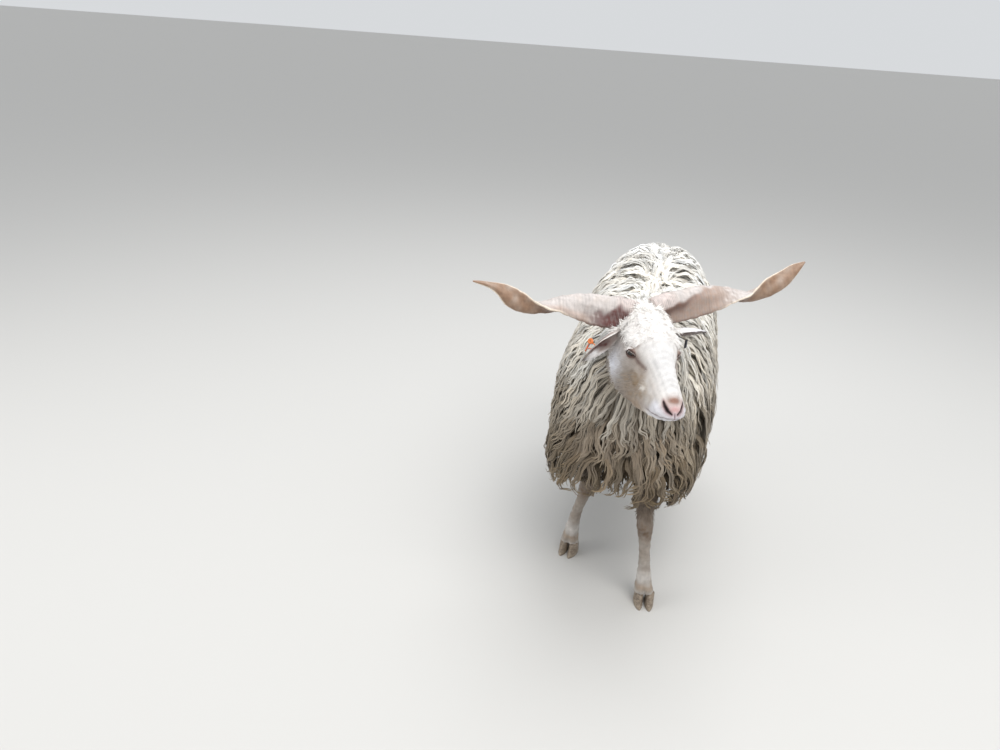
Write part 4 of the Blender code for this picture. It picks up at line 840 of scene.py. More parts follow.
# -------------------------------------------------------------------- hooves
def build_claw(name, outer):
    fx, fy, heading, hind = FEET[name]
    side = 1.0 if fx > 0 else -1.0
    away = side if outer else -side
    k = np.concatenate([[0.0, 0.03, 0.07], np.linspace(0.12, 1.0, 22), [1.04, 1.05]])
    phi = np.arange(44) * 2 * np.pi / 44
    K, P = np.meshgrid(k, phi, indexing="ij")
    c, s = np.cos(P), np.sin(P)
    z0 = K * 0.0335
    toe, heel = 0.0332 - 0.62 * z0, 0.0247 - 0.10 * z0
    shrink = np.where(K < 0.02, 0.955, np.where(K < 0.05, 0.985, 1.0)) * (1 - 0.06 * K)
    shrink = shrink * np.where(K > 1.03, 0.80, 1.0)
    ridge = 1 + 0.012 * np.sin(K * 26 + 1.5 * c) * (K > 0.08)
    ly = -np.where(c > 0, toe, heel) * shrink * ridge * power(c, 0.85)
    lx = CLAW_HALF_WIDTH * shrink * ridge * power(s, 0.80) * (1 - 0.42 * np.clip(c, 0, 1) ** 2.2)
    lx = np.where(lx * away < 0, lx * 0.93, lx)
    px = away * (CLAW_HALF_WIDTH + CLEFT) + lx - away * 0.0014 * np.clip(c, 0, 1)
    z = z0 + HOOF_SLOPE * (-ly) * step(0.35, 1.0, K) * 0.92
    p = np.stack([fx + px * np.cos(heading) - ly * np.sin(heading), fy + px * np.sin(heading) + ly * np.cos(heading), z], -1)
    verts, faces = closed_tube(p)
    q = verts
    n1, n2 = wobble(q * np.array([1, 1, 3.0]), 0.012, 71), wobble(q, 0.006, 72)
    tone = np.tile(lin(152, 138, 122), (len(q), 1))
    tone = mix(tone, lin(112, 98, 84), 0.5 + 0.35 * n1)
    tone = mix(tone, lin(186, 172, 152), step(0.012, 0.003, q[:, 2]) * 0.35)
    tone = mix(tone, lin(84, 74, 66), step(0.006, 0.0, q[:, 2]) * 0.4)
    return verts, faces, tone * (1 + 0.07 * n2)[:, None]


def build_dewclaw(name, which):
    fx, fy, heading, hind = FEET[name]
    cx, cy, rx, ry, turn = (float(v) for v in leg_centre(name, np.array(0.070)))
    k = np.linspace(0, 1, 14)
    phi = np.arange(20) * 2 * np.pi / 20
    K, P = np.meshgrid(k, phi, indexing="ij")
    r = np.sin(np.pi * (0.04 + 0.94 * K)) ** 0.7
    lx = which * 0.0085 + 0.0046 * r * np.sin(P)
    ly = ry + 0.0012 + 0.0044 * r * np.cos(P) + 0.003 * (1 - K)
    z = 0.058 + 0.018 * K + 0 * P
    p = np.stack([cx + lx * np.cos(turn) - ly * np.sin(turn), cy + lx * np.sin(turn) + ly * np.cos(turn), z], -1)
    verts, faces = closed_tube(p)
    tone = np.tile(lin(104, 90, 78), (len(verts), 1)) * (1 + 0.12 * wobble(verts, 0.005, 77))[:, None]
    return verts, faces, tone


# --------------------------------------------------------------------- coat
def unwrap(p):
    """Place on a flat layout of the skin: body, head and legs side by side."""
    h = to_head(p)
    ang = np.arctan2(p[:, 0] - body_line(p[:, 1]), p[:, 2] - 0.50) / (2 * np.pi) + 0.5
    body = np.stack([0.01 + 0.60 * ang, 0.01 + 0.97 * np.clip((p[:, 1] + 0.50) / 0.98, 0, 1)], 1)
    ha = np.arctan2(h[:, 1], h[:, 2] + 0.055) / (2 * np.pi) + 0.5
    head = np.stack([0.64 + 0.35 * ha, 0.52 + 0.46 * np.clip((h[:, 0] + 0.06) / 0.32, 0, 1)], 1)
    out = np.where((head_ratio(h) < 1.25)[:, None], head, body)
    for k, name in enumerate(FEET):
        cx, cy, rx, ry, _ = leg_centre(name, p[:, 2])
        near = (np.hypot((p[:, 0] - cx) / (rx + 0.01), (p[:, 1] - cy) / (ry + 0.01)) < 1.1) & (p[:, 2] < 0.31)
        a = np.arctan2(p[:, 0] - cx, p[:, 1] - cy) / (2 * np.pi) + 0.5
        leg = np.stack([0.64 + 0.088 * k + 0.08 * a, 0.01 + 0.48 * p[:, 2] / 0.32], 1)
        out = np.where(near[:, None], leg, out)
    for k, side in enumerate((1.0, -1.0)):
        t, w, depth, gap = ear_coords(p, side)
        ear = np.stack([0.64 + 0.17 * k + 0.16 * np.clip((w + 1) / 2, 0, 1), 0.49 + 0.02 * np.clip(t, 0, 1)], 1)
        out = np.where(((gap < 0.008) & (t > 0.05))[:, None], ear, out)
    return out


def strands(path, out, width, flat=0.45):
    """Closed three-sided strands along (n, k+1, 3) paths; out is the way off the skin."""
    n, k1 = path.shape[:2]
    k = k1 - 1
    tan = unit(np.gradient(path, axis=1))
    across = unit(np.cross(tan, out))
    off = unit(np.cross(across, tan))
    w = width[..., None]
    ring = np.stack([path - across * 0.5 * w, path + across * 0.5 * w, path + off * flat * w], 2)[:, :k]
    verts = np.concatenate([ring.reshape(n, -1, 3), path[:, k:]], 1)
    per = 3 * k + 1
    base = (np.arange(n) * per)[:, None, None]
    r = np.arange(k - 1)[:, None]
    c = np.arange(3)[None, :]
    quads = np.stack([r * 3 + c, r * 3 + (c + 1) % 3, (r + 1) * 3 + (c + 1) % 3, (r + 1) * 3 + c], -1).reshape(1, -1, 4)
    tip = np.stack([(k - 1) * 3 + np.arange(3), (k - 1) * 3 + (np.arange(3) + 1) % 3, np.full(3, 3 * k)], -1)[None]
    cap = np.array([[[2, 1, 0]]])
    quads, tris = (base + quads).reshape(-1, 4), np.concatenate([(base + tip).reshape(-1, 3), (base + cap).reshape(-1, 3)])
    # outward check on the first strand
    a, b, d = verts[0][0], verts[0][1], verts[0][2]
    e = verts[0][3] - verts[0][0]
    if np.dot(np.cross(b - a, d - a), e) > 0:
        pass
    else:
        quads, tris = quads[:, ::-1], tris[:, ::-1]
    # shading follows the lie of the coat more than each strand's own roundness
    soft = np.stack([unit(0.80 * off - 0.50 * across), unit(0.80 * off + 0.50 * across), off], 2)[:, :k]
    soft = np.concatenate([soft.reshape(n, -1, 3), off[:, k:]], 1).reshape(-1, 3)
    under = -np.concatenate([np.repeat(off[:, :k], 3, axis=1), off[:, k:]], 1).reshape(-1, 3)
    below_quads = np.arange(len(quads)) % 3 == 0
    below_tris = np.concatenate([np.arange(3 * n) % 3 == 0, np.ones(n, bool)])
    loops = np.concatenate([np.where(below_quads[:, None, None], under[quads], soft[quads]).reshape(-1, 3),
                            np.where(below_tris[:, None, None], under[tris], soft[tris]).reshape(-1, 3)])
    return verts.reshape(-1, 3), quads, tris, per, loops


def coat_object(name, path, out, width, tone, root, mat, flat=0.45):
    """One coat piece; tone is (n, k+1, 3), root the places where the strands start."""
    n, k1 = path.shape[:2]
    k = k1 - 1
    verts, quads, tris, per, soft = strands(path, out, width, flat)
    col = np.concatenate([np.repeat(tone[:, :k], 3, axis=1), tone[:, k:]], 1).reshape(-1, 3)
    u0 = unwrap(root)
    around = np.concatenate([np.tile(np.array([0.0, 1.0, 0.5]), k), [0.5]])
    down = np.concatenate([np.repeat(np.arange(k) / k, 3), [1.0]])
    patch = np.stack([around, down], 1) * 0.003
    uv = np.clip((u0[:, None] + patch[None]), 0.0, 1.0).reshape(-1, 2)
    seg = np.linalg.norm(np.diff(path, axis=1), axis=2)
    run = np.concatenate([np.zeros((n, 1)), np.cumsum(seg, 1)], 1)
    lie = np.stack([np.tile(around, (n, 1)) + 3.7 * (np.arange(n) % 97)[:, None],
                    np.concatenate([np.repeat(run[:, :k], 3, axis=1), run[:, k:]], 1) * 60], -1).reshape(-1, 2)
    obj = make_mesh(name, verts, [quads, tris], col, uv, lie)
    obj.data.normals_split_custom_set(soft)
    obj.data.materials.append(mat)
    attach(obj, "root")
    return obj


def scatter(co, tri, weight, count, rng, spacing=0.0):
    """Random places on the mesh, by area and weight, kept a spacing apart."""
    a, b, c = co[tri[:, 0]], co[tri[:, 1]], co[tri[:, 2]]
    nrm = np.cross(b - a, c - a)
    area = np.linalg.norm(nrm, axis=1) * 0.5 * weight
    pick = rng.choice(len(tri), size=count, p=area / area.sum())
    r1, r2 = np.sqrt(rng.rand(count, 1)), rng.rand(count, 1)
    p = (1 - r1) * a[pick] + r1 * (1 - r2) * b[pick] + r1 * r2 * c[pick]
    n = unit(nrm[pick])
    if spacing > 0:
        cells, keep = {}, []
        for i, key in enumerate(map(tuple, np.floor(p / spacing).astype(int))):
            ok = True
            for dx in (-1, 0, 1):
                for dy in (-1, 0, 1):
                    for dz in (-1, 0, 1):
                        for j in cells.get((key[0] + dx, key[1] + dy, key[2] + dz), ()):
                            if ((p[i] - p[j]) ** 2).sum() < spacing * spacing:
                                ok = False
            if ok:
                cells.setdefault(key, []).append(i)
                keep.append(i)
        p, n = p[keep], n[keep]
    return p, n


def fleece_flow(p, out):
    """Which way the fleece lies: parted along the back, then down."""
    x = p[:, 0] - body_line(p[:, 1]) + 0.010 * wobble(p, 0.07, 84)
    top = step(0.25, 0.85, out[:, 2])
    sway = 0.25 * wobble(p, 0.11, 81)
    side = np.clip(x / 0.03, -1, 1)
    f = np.stack([side * (0.25 + 1.0 * top) + 0.5 * sway, 0.12 - 0.10 * top + 0.6 * sway * top + 0.25 * wobble(p, 0.07, 82) * (1 - top) * 0.6,
                  -(1.0 - 0.35 * top)], -1)
    f[:, 0] += 0.26 * wobble(p, 0.06, 83) + 0.4 * top * wobble(p, 0.035, 85)
    f[:, 1] += 0.4 * top * wobble(p, 0.035, 86)
    # behind the horns the crest lies back over the neck
    crest = step(-0.27, -0.36, p[:, 1]) * step(0.60, 0.68, p[:, 2])
    f[:, 1] += 0.9 * crest * top
    f[:, 1] += 0.9 * top * step(0.27, 0.38, p[:, 1])
    f[:, 1] += 1.3 * top * np.exp(-(x / 0.020) ** 2)
    return unit(f)


def avoid(p):
    """Keeps locks off the face, the ears and the roots of the horns."""
    h = to_head(p)
    r = head_ratio(h)
    inside = (r < 1.04) & (h[:, 0] > 0.012)
    push = np.clip(1.04 - r, 0, 0.5) * 0.055
    way = unit(np.stack([0 * r - 0.3, h[:, 1], h[:, 2] + 0.062], -1)) @ HEAD
    p = p + way * (push * inside)[:, None]
    for side in (1.0, -1.0):
        root, aim, face, across, length = ear_frame(side)
        q = p - root
        t = np.clip(q @ aim, 0.0, length)
        off = q - t[:, None] * aim
        d = np.linalg.norm(off, axis=1)
        p = p + unit(off - 0.6 * face * 0.01) * np.clip(0.021 - d, 0, None)[:, None]
        a, b = horn_line(np.array([0.06, 0.36]), side)[0]
        ab = b - a
        t = np.clip((p - a) @ ab / (ab @ ab), 0, 1)
        off = p - a - t[:, None] * ab
        d = np.linalg.norm(off, axis=1)
        p = p + unit(off) * np.clip(0.031 - d, 0, None)[:, None]
    return p


def grow(root, nrm, length, rng, steps, depth_tip, curl, rise=1.0):
    """Middle lines of the locks, and the way off the body along them."""
    n = len(root)
    shares = np.array(steps) / np.sum(steps)
    p = root - nrm * 0.003
    s0 = outline(p)[0]
    path, outs = [p.copy()], []
    done = np.zeros(n)
    last = None
    for k, share in enumerate(shares):
        s, out = outline(p)
        flow = fleece_flow(p, out)
        along = unit(flow - out * (flow * out).sum(1)[:, None])
        early = np.exp(-done / 0.16)
        way = unit(along + out * (1.15 * early * rise)[:, None])
        hang = step(-0.10, -0.55, out[:, 2]) + step(0.31, 0.275, p[:, 2])
        way = unit(mix(way, np.tile(-UP, (n, 1)), np.clip(hang, 0, 1) * 0.9))
        if last is not None:
            way = unit(way * 0.65 + last * 0.35)
        last = way
        side = unit(np.cross(way, out))
        bend = curl[:, 0] * step(0.66, 1.0, done + 0.5 * share)
        lift = curl[:, 1] * step(0.72, 1.0, done + 0.5 * share)
        turned = way * (np.cos(bend) * np.cos(lift))[:, None] + side * np.sin(bend)[:, None] + out * (np.sin(lift) * np.cos(bend))[:, None]
        p = p + unit(turned) * (length * share)[:, None]
        done = done + share
        s, out2 = outline(p)
        want = s0 + (-depth_tip - s0) * step(0.0, 0.42, done)
        fix = np.clip(want - s, -0.02, 0.02) * (1 - 0.8 * np.clip(hang, 0, 1)) * (1 - 0.6 * step(0.7, 1.0, done)) * 0.7
        p = p + out2 * fix[:, None]
        s = outline(p)[0]
        p = p - out2 * np.clip(s - 0.004, 0, None)[:, None]
        p = avoid(p)
        path.append(p.copy())
        outs.append(out)
    outs.append(outs[-1])
    return np.stack(path, 1), np.stack(outs, 1)


def wool_tone(root, tipz, rng):
    """Root, middle and tip colours of each lock, from where it grows."""
    n = len(root)
    x, y, z = root.T
    out = outline(root)[1]
    n1, n2 = wobble(root, 0.12, 91), wobble(root, 0.045, 92)
    front = step(-0.30, -0.40, y) * step(0.60, 0.50, z)
    # tones by height, near-white on the back to dark brown at the hem: partly the wool's own colour and partly painted
    # shade low on the body, where light from above falls less
    shades = [(0.25, (66, 53, 36)), (0.34, (84, 70, 52)), (0.42, (111, 98, 80)), (0.50, (146, 135, 119)),
              (0.58, (192, 184, 171)), (0.66, (223, 219, 211)), (0.72, (233, 231, 227))]
    mid = np.stack([ease([(h, lin(*c)[k]) for h, c in shades], z + 0.012 * n1) for k in range(3)], -1)
    # greyer brown on the chest below the neck: partly the wool's own colour and partly painted shade under the head and
    # neck
    mid = mix(mid, lin(122, 108, 93), front * 0.8)
    value = 1 + 0.08 * n1 + 0.07 * n2 + 0.08 * rng.normal(size=n)
    mid = mid * np.clip(value, 0.6, 1.35)[:, None]
    warm = (rng.normal(size=n) * 0.018)[:, None] * np.array([1.0, 0.1, -1.2])
    mid = mid * (1 + warm)
    # roots darker than the middle of the lock, less so on the back: painted shade deep in the fleece
    base = mid * np.array([0.84, 0.83, 0.81]) * (1 + 0.16 * step(0.50, 0.68, z))[:, None]
    tip = mix(mid * 1.04, lin(156, 134, 98), 0.08 + 0.27 * step(0.46, 0.34, tipz))
    return base, mid, tip


LOCK_STEPS = [0.110, 0.095, 0.085, 0.080, 0.075, 0.070, 0.068, 0.066, 0.064, 0.062, 0.060, 0.058, 0.055, 0.052]


def build_wool(co, tri, mat, density=1.0):
    rng = np.random.RandomState(7)
    mid = co[tri].mean(1)
    h = to_head(mid)
    nrm = unit(np.cross(co[tri[:, 1]] - co[tri[:, 0]], co[tri[:, 2]] - co[tri[:, 0]]))
    away = (head_ratio(h) > 1.10) | (h[:, 0] < -0.012)
    away &= ~((head_ratio(h) < 1.12) & (h[:, 0] > -0.02) & (h[:, 2] > -0.05))
    for side in (1.0, -1.0):
        t, w, depth, gap = ear_coords(mid, side)
        away &= ~((gap < 0.010) & (t > -0.1))
    leg = np.zeros(len(mid), bool)
    for name in FEET:
        cx, cy, rx, ry, _ = leg_centre(name, mid[:, 2])
        leg |= (np.hypot((mid[:, 0] - cx) / (rx + 0.004), (mid[:, 1] - cy) / (ry + 0.004)) < 1.06) & (mid[:, 2] < 0.355)
    away &= ~leg
    weight = away * (1.0 - 0.45 * step(-0.55, -0.85, nrm[:, 2]))
    tail = (mid[:, 1] > 0.388) & (np.abs(mid[:, 0] - body_line(mid[:, 1]) + 0.006) < 0.03)
    weight = weight * np.where(tail, 2.0, 1.0) * (1 + 0.5 * step(0.45, 0.85, nrm[:, 2])) * (1 + 0.4 * step(0.46, 0.36, mid[:, 2])) * (1 + 1.6 * step(0.30, 0.36, mid[:, 1]) * step(0.58, 0.66, mid[:, 2]))
    weight = weight * (1 + 1.0 * blob(mid[:, 0] - body_line(mid[:, 1]), 0.0, 0.022) * step(0.60, 0.68, mid[:, 2]))
    weight = weight * (1 + 1.8 * step(0.05, 0.0, mid[:, 0]) * step(-0.05, -0.20, mid[:, 1]) * step(0.40, 0.34, mid[:, 2]))
    weight = weight * (1 + 1.4 * step(1.60, 1.20, head_ratio(h)))
    root, nrm = scatter(co, tri, weight, int(12500 * density), rng, 0.0122 / math.sqrt(density))
    n = len(root)
    x, y, z = root.T
    out = outline(root)[1]
    back = step(0.30, 0.80, out[:, 2])
    lower = step(0.56, 0.40, z)
    length = 0.125 + 0.075 * lower - 0.040 * back
    near_head = step(0.16, 0.05, np.linalg.norm(root - from_head((0.0, 0.0, -0.06)), axis=1))
    length = length - 0.030 * near_head
    length = length * (1 + 0.14 * rng.normal(size=n)).clip(0.7, 1.4)
    hem_keys = [(-0.42, 0.272), (-0.35, 0.250), (-0.20, 0.254), (0.0, 0.270), (0.20, 0.288), (0.33, 0.280), (0.42, 0.296)]
    hem = ease(hem_keys, y) + 0.014 * rng.normal(size=n) + 0.012 * wobble(root, 0.06, 95)
    low_front = step(0.05, -0.04, x) * step(-0.08, -0.26, y)
    hem = hem - 0.046 * low_front
    hem = np.maximum(hem, 0.204)
    length = length + 0.025 * low_front * lower
    room = np.clip(z - hem, 0.03, None) * 1.10 + 0.035 * step(0.30, 0.45, z)
    length = np.minimum(length, room)
    depth_tip = 0.001 + 0.020 * rng.rand(n) ** 1.6
    wild = rng.rand(n)
    sign = np.where(wobble(root, 0.05, 96) > 0, 1.0, -1.0) * np.where(rng.rand(n) < 0.25, -1, 1)
    curl = np.stack([sign * (0.25 + 1.4 * lower * wild ** 1.5 + 0.5 * wild), (0.15 + 0.8 * lower * rng.rand(n)) * np.where(rng.rand(n) < 0.7, 1, -1)], 1)
    path, outs = grow(root, nrm, length, rng, LOCK_STEPS, depth_tip, curl)
    k1 = path.shape[1]
    along = np.concatenate([[0], np.cumsum(LOCK_STEPS)]) / np.sum(LOCK_STEPS)
    run = along[None] * length[:, None]
    # neighbouring locks gather into broader staples that draw together towards their tips
    heads = rng.choice(n, size=max(n // 8, 1), replace=False)
    gap2 = ((root[:, None] - root[None, heads]) ** 2).sum(-1)
    boss = heads[gap2.argmin(1)]
    near = np.sqrt(gap2.min(1))
    pull = (0.40 - 0.22 * back)[:, None] * step(0.15, 1.0, along)[None] * step(0.055, 0.030, near)[:, None]
    path = path + (path[boss] - path) * pull[..., None] * np.array([1.0, 1.0, 0.35])
    tan = unit(np.gradient(path, axis=1))
    side = unit(np.cross(tan, outs))
    # crimp shared by the whole lock, nearly in step with its neighbours
    wave = (0.040 + 0.004 * wobble(root, 0.20, 97) + 0.0015 * rng.normal(size=n)).clip(0.032, 0.060)[:, None] * (1 + 0.45 * step(0.10, 0.19, length))[:, None]
    phase = (2.6 * wobble(root, 0.10, 98) + 0.9 * rng.normal(size=n))[:, None]
    env = step(0.08, 0.40, along)[None] * (0.0017 + 0.0016 * lower[:, None] + 0.0012 * rng.rand(n)[:, None]) * (1 - 0.30 * back[:, None])
    path = path + side * (env * np.sin(2 * np.pi * run / wave + phase))[..., None]
    path = path + outs * (0.50 * env * np.cos(2 * np.pi * run / wave + phase))[..., None]
    base, middle, tip = wool_tone(root, path[:, -1, 2], rng)
    # members of each lock
    members = 6
    thick = np.clip(0.0150 * (1 + 0.2 * rng.normal(size=n)), 0.009, 0.022)
    all_path, all_out, all_w, all_tone, all_root = [], [], [], [], []
    for j in range(members):
        use = np.arange(n)
        m = len(use)
        ang = 2 * np.pi * (j + rng.rand(m)) / members
        rad = np.sqrt(rng.uniform(0.15, 1.0, m))
        a, b = np.cos(ang) * rad * 0.5, np.sin(ang) * rad * 0.28
        close = (0.95 - 0.35 * along[None] - 0.30 * along[None] ** 3) * thick[use][:, None]
        drift = 0.006 * rng.normal(size=(m, 1)) * along[None] ** 2
        own = rng.uniform(0.030, 0.048, m)[:, None] * (1 + 0.45 * step(0.10, 0.19, length))[:, None]
        ph = rng.rand(m)[:, None] * 2 * np.pi
        fine = (0.0008 + 0.0014 * along[None]) * np.sin(2 * np.pi * run[use] / own + ph)
        # each member ends a little before or beyond the others
        stretch = 1 + 0.12 * rng.normal(size=m)
        pos = np.clip(along[None] * np.clip(stretch, 0.72, 1.0)[:, None], 0, 1)
        idx = pos * (k1 - 1)
        src = np.interp(pos.ravel(), along, np.arange(k1)).reshape(pos.shape)
        i0 = np.clip(np.floor(src).astype(int), 0, k1 - 2)
        f = (src - i0)[..., None]
        rows = use[:, None]
        pp = path[rows, i0] * (1 - f) + path[rows, i0 + 1] * f
        ss = unit(side[rows, i0] * (1 - f) + side[rows, i0 + 1] * f)
        oo = unit(outs[rows, i0] * (1 - f) + outs[rows, i0 + 1] * f)
        pp = pp + ss * (a[:, None] * close + drift + fine)[..., None] + oo * (b[:, None] * close + 0.5 * drift)[..., None]
        w0 = rng.uniform(0.0026, 0.0060, m)[:, None]
        width = w0 * (1 + 0.35 * back[use])[:, None] * (1 - 0.60 * step(0.55, 1.0, along)[None])
        shade = (1 + 0.075 * rng.normal(size=m))[:, None, None]
        t3 = along[None, :, None]
        # the darker roots (painted shade deep in the fleece) blend into the middle and tip colours
        tone = base[use][:, None] * (1 - step(0.0, 0.45, t3)) + middle[use][:, None] * step(0.0, 0.45, t3)
        tone = tone * (1 - step(0.70, 1.0, t3)) + tip[use][:, None] * step(0.70, 1.0, t3)
        all_path.append(pp)
        all_out.append(oo)
        all_w.append(width)
        all_tone.append(tone * shade)
        all_root.append(root[use])
    P, O, W, T, R = (np.concatenate(v) for v in (all_path, all_out, all_w, all_tone, all_root))
    # low down, where the locks hang free, they are turned to face out from the body
    free = np.stack([P[..., 0] - body_line(P[..., 1]), 0.25 * P[..., 1], 0 * P[..., 0]], -1)
    O = unit(mix(O, unit(O * np.array([1.0, 1.0, 0.1]) + 0.4 * unit(free)), step(0.44, 0.34, P[..., 2])))
    order = np.argsort(R[:, 1], kind="stable")
    P, O, W, T, R = P[order], O[order], W[order], T[order], R[order]
    per = 6 * (k1 - 1) - 2
    limit = int(1075000 // per)
    if len(P) > limit:
        keep = np.sort(rng.permutation(len(P))[:limit])
        P, O, W, T, R = P[keep], O[keep], W[keep], T[keep], R[keep]
    chunk = -(-len(P) // -(-len(P) // int(190000 // per)))
    made = []
    for i in range(0, len(P), chunk):
        sl = slice(i, i + chunk)
        made.append(coat_object("wool_%02d" % (i // chunk + 1), P[sl], O[sl], W[sl], T[sl], R[sl], mat, 0.26))
    print("locks", n, "strands", len(P), "tris", len(P) * per, "pieces", len(made))
    return made


def build_underwool(co, tri, mat):
    """Short wool that fills the parting over the spine and the flanks of the tail."""
    rng = np.random.RandomState(23)
    mid = co[tri].mean(1)
    nrm = unit(np.cross(co[tri[:, 1]] - co[tri[:, 0]], co[tri[:, 2]] - co[tri[:, 0]]))
    off = np.abs(mid[:, 0] - body_line(mid[:, 1]))
    spine = (off < 0.040) & (mid[:, 2] > 0.56) & (nrm[:, 2] > 0.4) & (mid[:, 1] > -0.34)
    rear = (mid[:, 1] > 0.33) & (off < 0.11) & (mid[:, 2] > 0.32)
    root, nrm = scatter(co, tri, spine * 1.0 + rear * 1.0, 2600, rng)
    n = len(root)
    top = step(0.35, 0.80, nrm[:, 2])[:, None]
    lie = top * np.array([0.0, 1.0, 0.0]) + (1 - top) * np.array([0.0, 0.1, -1.0]) + rng.normal(size=(n, 3)) * np.array([0.45, 0.25, 0.15])
    middle = wool_tone(root, root[:, 2] - 0.03, rng)[1]
    P, O, W, T = tufts(root, nrm, lie, rng.uniform(0.028, 0.050, n), rng.uniform(0.0026, 0.0050, n), np.radians(rng.uniform(12, 30, n)),
                       0.25 * rng.normal(size=n), middle, 3)
    coat_object("underwool", P, O, W, T, root, mat, 0.26)


def tufts(root, nrm, lie, length, width, lift, curve, tone, segs=3):
    """Short curved tufts: paths, outward vectors, widths and tones."""
    t = np.linspace(0, 1, segs + 1)
    lie = unit(lie - nrm * (lie * nrm).sum(1)[:, None])
    side = np.cross(lie, nrm)
    a = lift[:, None] * (1 - t[None]) ** 0.8
    fwd = length[:, None] * t[None]
    path = (root - nrm * 0.0006)[:, None] + lie[:, None] * fwd[..., None]
    path = path + nrm[:, None] * (length[:, None] * np.sin(np.pi * np.clip(t[None], 0, 1) * 0.62) * np.tan(lift)[:, None] * 0.62)[..., None]
    path = path + side[:, None] * (curve[:, None] * length[:, None] * t[None] ** 2)[..., None]
    out = np.repeat(nrm[:, None], segs + 1, axis=1)
    w = width[:, None] * np.array({2: [0.9, 0.85, 0.1], 3: [0.85, 1.0, 0.7, 0.1], 5: [0.8, 1.0, 1.0, 0.85, 0.55, 0.1]}[segs])[None]
    tn = tone[:, None] * (0.92 + 0.12 * t[None])[..., None]
    return path, out, w, tn


